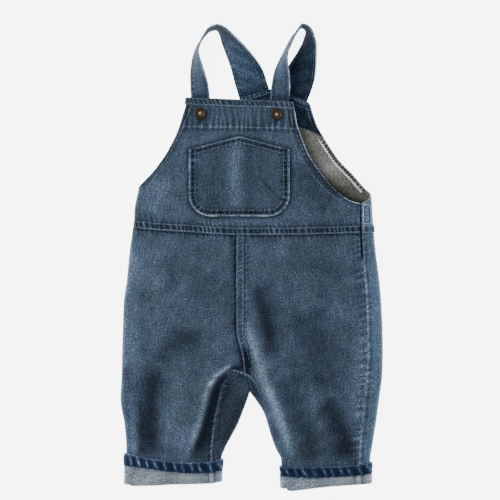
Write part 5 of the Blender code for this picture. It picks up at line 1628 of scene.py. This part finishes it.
def make_placket():
    """The little facing tab at the top of the side opening, on the back's edge of it."""
    rows = []
    for share in np.linspace(0.0, 1.0, 24):
        y = 43.0 + 25.0 * share
        round_off = 1.0 - math.sqrt(max(1.0 - max(abs(share - 0.5) * 2.0 - 0.6, 0.0) ** 2 / 0.16, 0.0))
        high = float(reach_over("right", 141.2, y)) - 2.5 * round_off
        low = -3.5 + 2.5 * round_off
        rows.append(around("right", y, np.linspace(high, low, 16), DENIM / 2 + OVERLAY_GAP + STRIP / 2))
    grid = np.stack(rows)
    gap = np.min([rim_gap(grid, side) for side in ("first", "last", "foot", "top")], axis=0)
    wear_and_shade = 0.26 + edge_shade(gap, 1.0, 0.7) - edge_shade(gap - 2.2, 1.0, 0.42)
    piece = cloth("side_placket_tab", grid, STRIP, wear_and_shade, [pale_denim, pale_denim])
    sew_on(piece, "back_bodice")


def make_shaded_placket_strip():
    """The strip under the slit above the right hip, coloured dark as the slit's painted shade."""
    rows = []
    for y in np.linspace(-12.0, 66.0, 30):
        centre = side_seam("right", y, "front") + 0.6
        reach = [float(reach_over("right", centre + shift, y)) for shift in (4.6, 2.0, -1.0, -4.6)]
        rows.append(around("right", y, np.array(reach), -DENIM / 2 - 0.5 - STRIP / 2))
    grid = np.stack(rows)
    # Painted shade: the slit's deep shadow given as dark colour
    wear_and_shade = np.full(grid.shape[:2], -0.55)
    piece = cloth("side_placket_under_painted_shade", grid, STRIP, wear_and_shade, [dark_denim, dark_denim])
    sew_on(piece, "back_bodice")


make_bib()
make_back()
for leg in ("left", "right"):
    make_front_leg(leg)
    make_back_leg(leg)
    make_cuff(leg)
    make_hem(leg)
strap_edges = {"left": make_strap("left", LEFT_STRAP), "right": make_strap("right", RIGHT_STRAP)}
make_pocket()
make_waist_seam()
make_rise_seam()
make_crotch_seam()
make_bib_hem()
make_facing()
make_armhole_hem("left")
make_armhole_hem("right")
make_back_top_hem()
make_placket()
make_shaded_placket_strip()
make_stitches(strap_edges)


# Buttons

def metal(name, code, other, roughness, metallic):
    """Plated metal, stamped, then stained unevenly: specks of about a millimetre that dull its shine."""
    material, tree, shader = blank(name)
    place = add(tree, "ShaderNodeTexCoord").outputs["Object"]
    stain = add(tree, "ShaderNodeTexNoise", Vector=place, Scale=900.0, Detail=3.0).outputs["Fac"]
    mixed = add(tree, "ShaderNodeMix", {"data_type": "RGBA"}, Factor=stain, _6=linear(code),
                _7=linear(other))
    bump = add(tree, "ShaderNodeBump", Strength=0.2, Distance=0.0001, Height=stain)
    fit(tree, shader, Base_Color=mixed.outputs[2], Normal=bump.outputs[0], Metallic=metallic,
        Roughness=roughness)
    return material


# Brass plated as aged bronze, stamped and rolled at the rim: nearly black, with a dull brown shine
dark_bronze = metal("aged_bronze_rim", "#1d1612", "#3c2c22", 0.5, 0.5)
# The stamped middle, whose plating has rubbed down to copper: a small bright spot
bright_copper = metal("rubbed_copper_middle", "#5c4a38", "#c2a983", 0.45, 0.4)

# Half a button's section, from the middle of its face round to the middle of its back
BUTTON_PROFILE = [
    (0.01, 2.3), (1.1, 2.25), (1.9, 1.85), (2.3, 1.35), (3.6, 1.2), (4.7, 1.45), (5.6, 2.1), (6.4, 2.45),
    (7.0, 2.2), (7.4, 1.5), (7.5, 0.8), (7.0, 0.1), (5.5, 0.0), (0.01, 0.0)]
BUTTON_MIDDLE = 2.1


def make_button(node, x, y):
    """A shank button: a rolled rim, a dished ring and a small raised middle."""
    deselect()
    bpy.ops.mesh.primitive_plane_add(size=0.001)
    piece = bpy.context.object
    piece.name = piece.data.name = node + "_metal"
    mesh = piece.data
    mesh.clear_geometry()
    points = [(radius * MM, 0.0, height * MM) for radius, height in BUTTON_PROFILE]
    mesh.from_pydata(points, [(i, i + 1) for i in range(len(points) - 1)], [])
    bpy.ops.object.mode_set(mode="EDIT")
    bpy.ops.mesh.select_all(action="SELECT")
    bpy.ops.mesh.spin(steps=48, angle=2.0 * math.pi, center=(0.0, 0.0, 0.0), axis=(0.0, 0.0, 1.0))
    bpy.ops.mesh.select_all(action="SELECT")
    bpy.ops.mesh.remove_doubles(threshold=0.00003)
    bpy.ops.mesh.normals_make_consistent(inside=False)
    bpy.ops.object.mode_set(mode="OBJECT")
    mesh.materials.append(dark_bronze)
    mesh.materials.append(bright_copper)
    for face in mesh.polygons:
        near_middle = math.hypot(face.center.x, face.center.y) < BUTTON_MIDDLE * MM
        face.material_index = 1 if near_middle and face.normal.z > 0.2 else 0
    z = float(over_height(x, y)) + DENIM / 2 + 0.9
    co = np.empty(len(mesh.vertices) * 3)
    mesh.vertices.foreach_get("co", co)
    co = co.reshape(-1, 3) + (np.array([x, y, z]) - BOX_CENTRE) * MM
    mesh.vertices.foreach_set("co", co.reshape(-1))
    bpy.ops.object.shade_smooth_by_angle(angle=math.radians(35.0))
    mesh.update()
    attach(piece, "root")
    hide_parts(node)


for node, x, y in BUTTONS:
    make_button(node, x, y)


# The room: a pale floor, soft light and the camera straight above

deselect()
bpy.ops.mesh.primitive_plane_add(size=6.0, location=(0.0, 0.0, -0.0004))
floor = bpy.context.object
floor.name = "table_top"
# Matt white card, pressed: its fibres give it a fine tooth, and it glows so that it shows as plain white
paper, tree, shader = blank("matt_white_card")
place = add(tree, "ShaderNodeTexCoord").outputs["Object"]
tooth = add(tree, "ShaderNodeTexNoise", Vector=place, Scale=600.0).outputs["Fac"]
fibre = add(tree, "ShaderNodeValToRGB", stops=[(0.0, "#f4f4f4"), (1.0, "#fbfbfb")], Fac=tooth)
fit(tree, shader, Base_Color=fibre.outputs["Color"], Roughness=0.95, Specular_IOR_Level=0.1,
    Emission_Color=(1.0, 1.0, 1.0, 1.0), Emission_Strength=6.0)
floor.data.materials.append(paper)

# Soft light on the middle of the garment: where it stands, size in metres, power
LAMPS = [("window", (-1.5, 0.7, 1.5), 1.2, 34.0), ("fill", (1.4, -0.4, 1.7), 1.6, 9.0)]
for name, place, size, power in LAMPS:
    light = bpy.data.lights.new(name, "AREA")
    light.size = size
    light.energy = power
    lamp = bpy.data.objects.new(name, light)
    lamp.location = place
    lamp.rotation_euler = (-Vector(place)).to_track_quat("-Z", "Y").to_euler()
    bpy.context.scene.collection.objects.link(lamp)

world = bpy.data.worlds.new("studio")
bpy.context.scene.world = world
world.use_nodes = True
fit(world.node_tree, world.node_tree.nodes["Background"], Color=(1.0, 1.0, 1.0, 1.0), Strength=0.62)

# The camera looks straight down, and a pixel of the picture is 1.27 mm at the cloth's usual height
MM_PER_PIXEL = 1.27
PIXELS = 500
LENS, SENSOR = 120.0, 36.0
PICTURE_MIDDLE = (-0.0021, 0.0102)
CLOTH_HEIGHT = 0.010
lens = bpy.data.cameras.new("camera")
lens.lens = LENS
lens.sensor_width = SENSOR
camera = bpy.data.objects.new("camera", lens)
distance = PIXELS * MM_PER_PIXEL * MM * LENS / SENSOR
camera.location = (*PICTURE_MIDDLE, distance + CLOTH_HEIGHT)
bpy.context.scene.collection.objects.link(camera)
bpy.context.scene.camera = camera
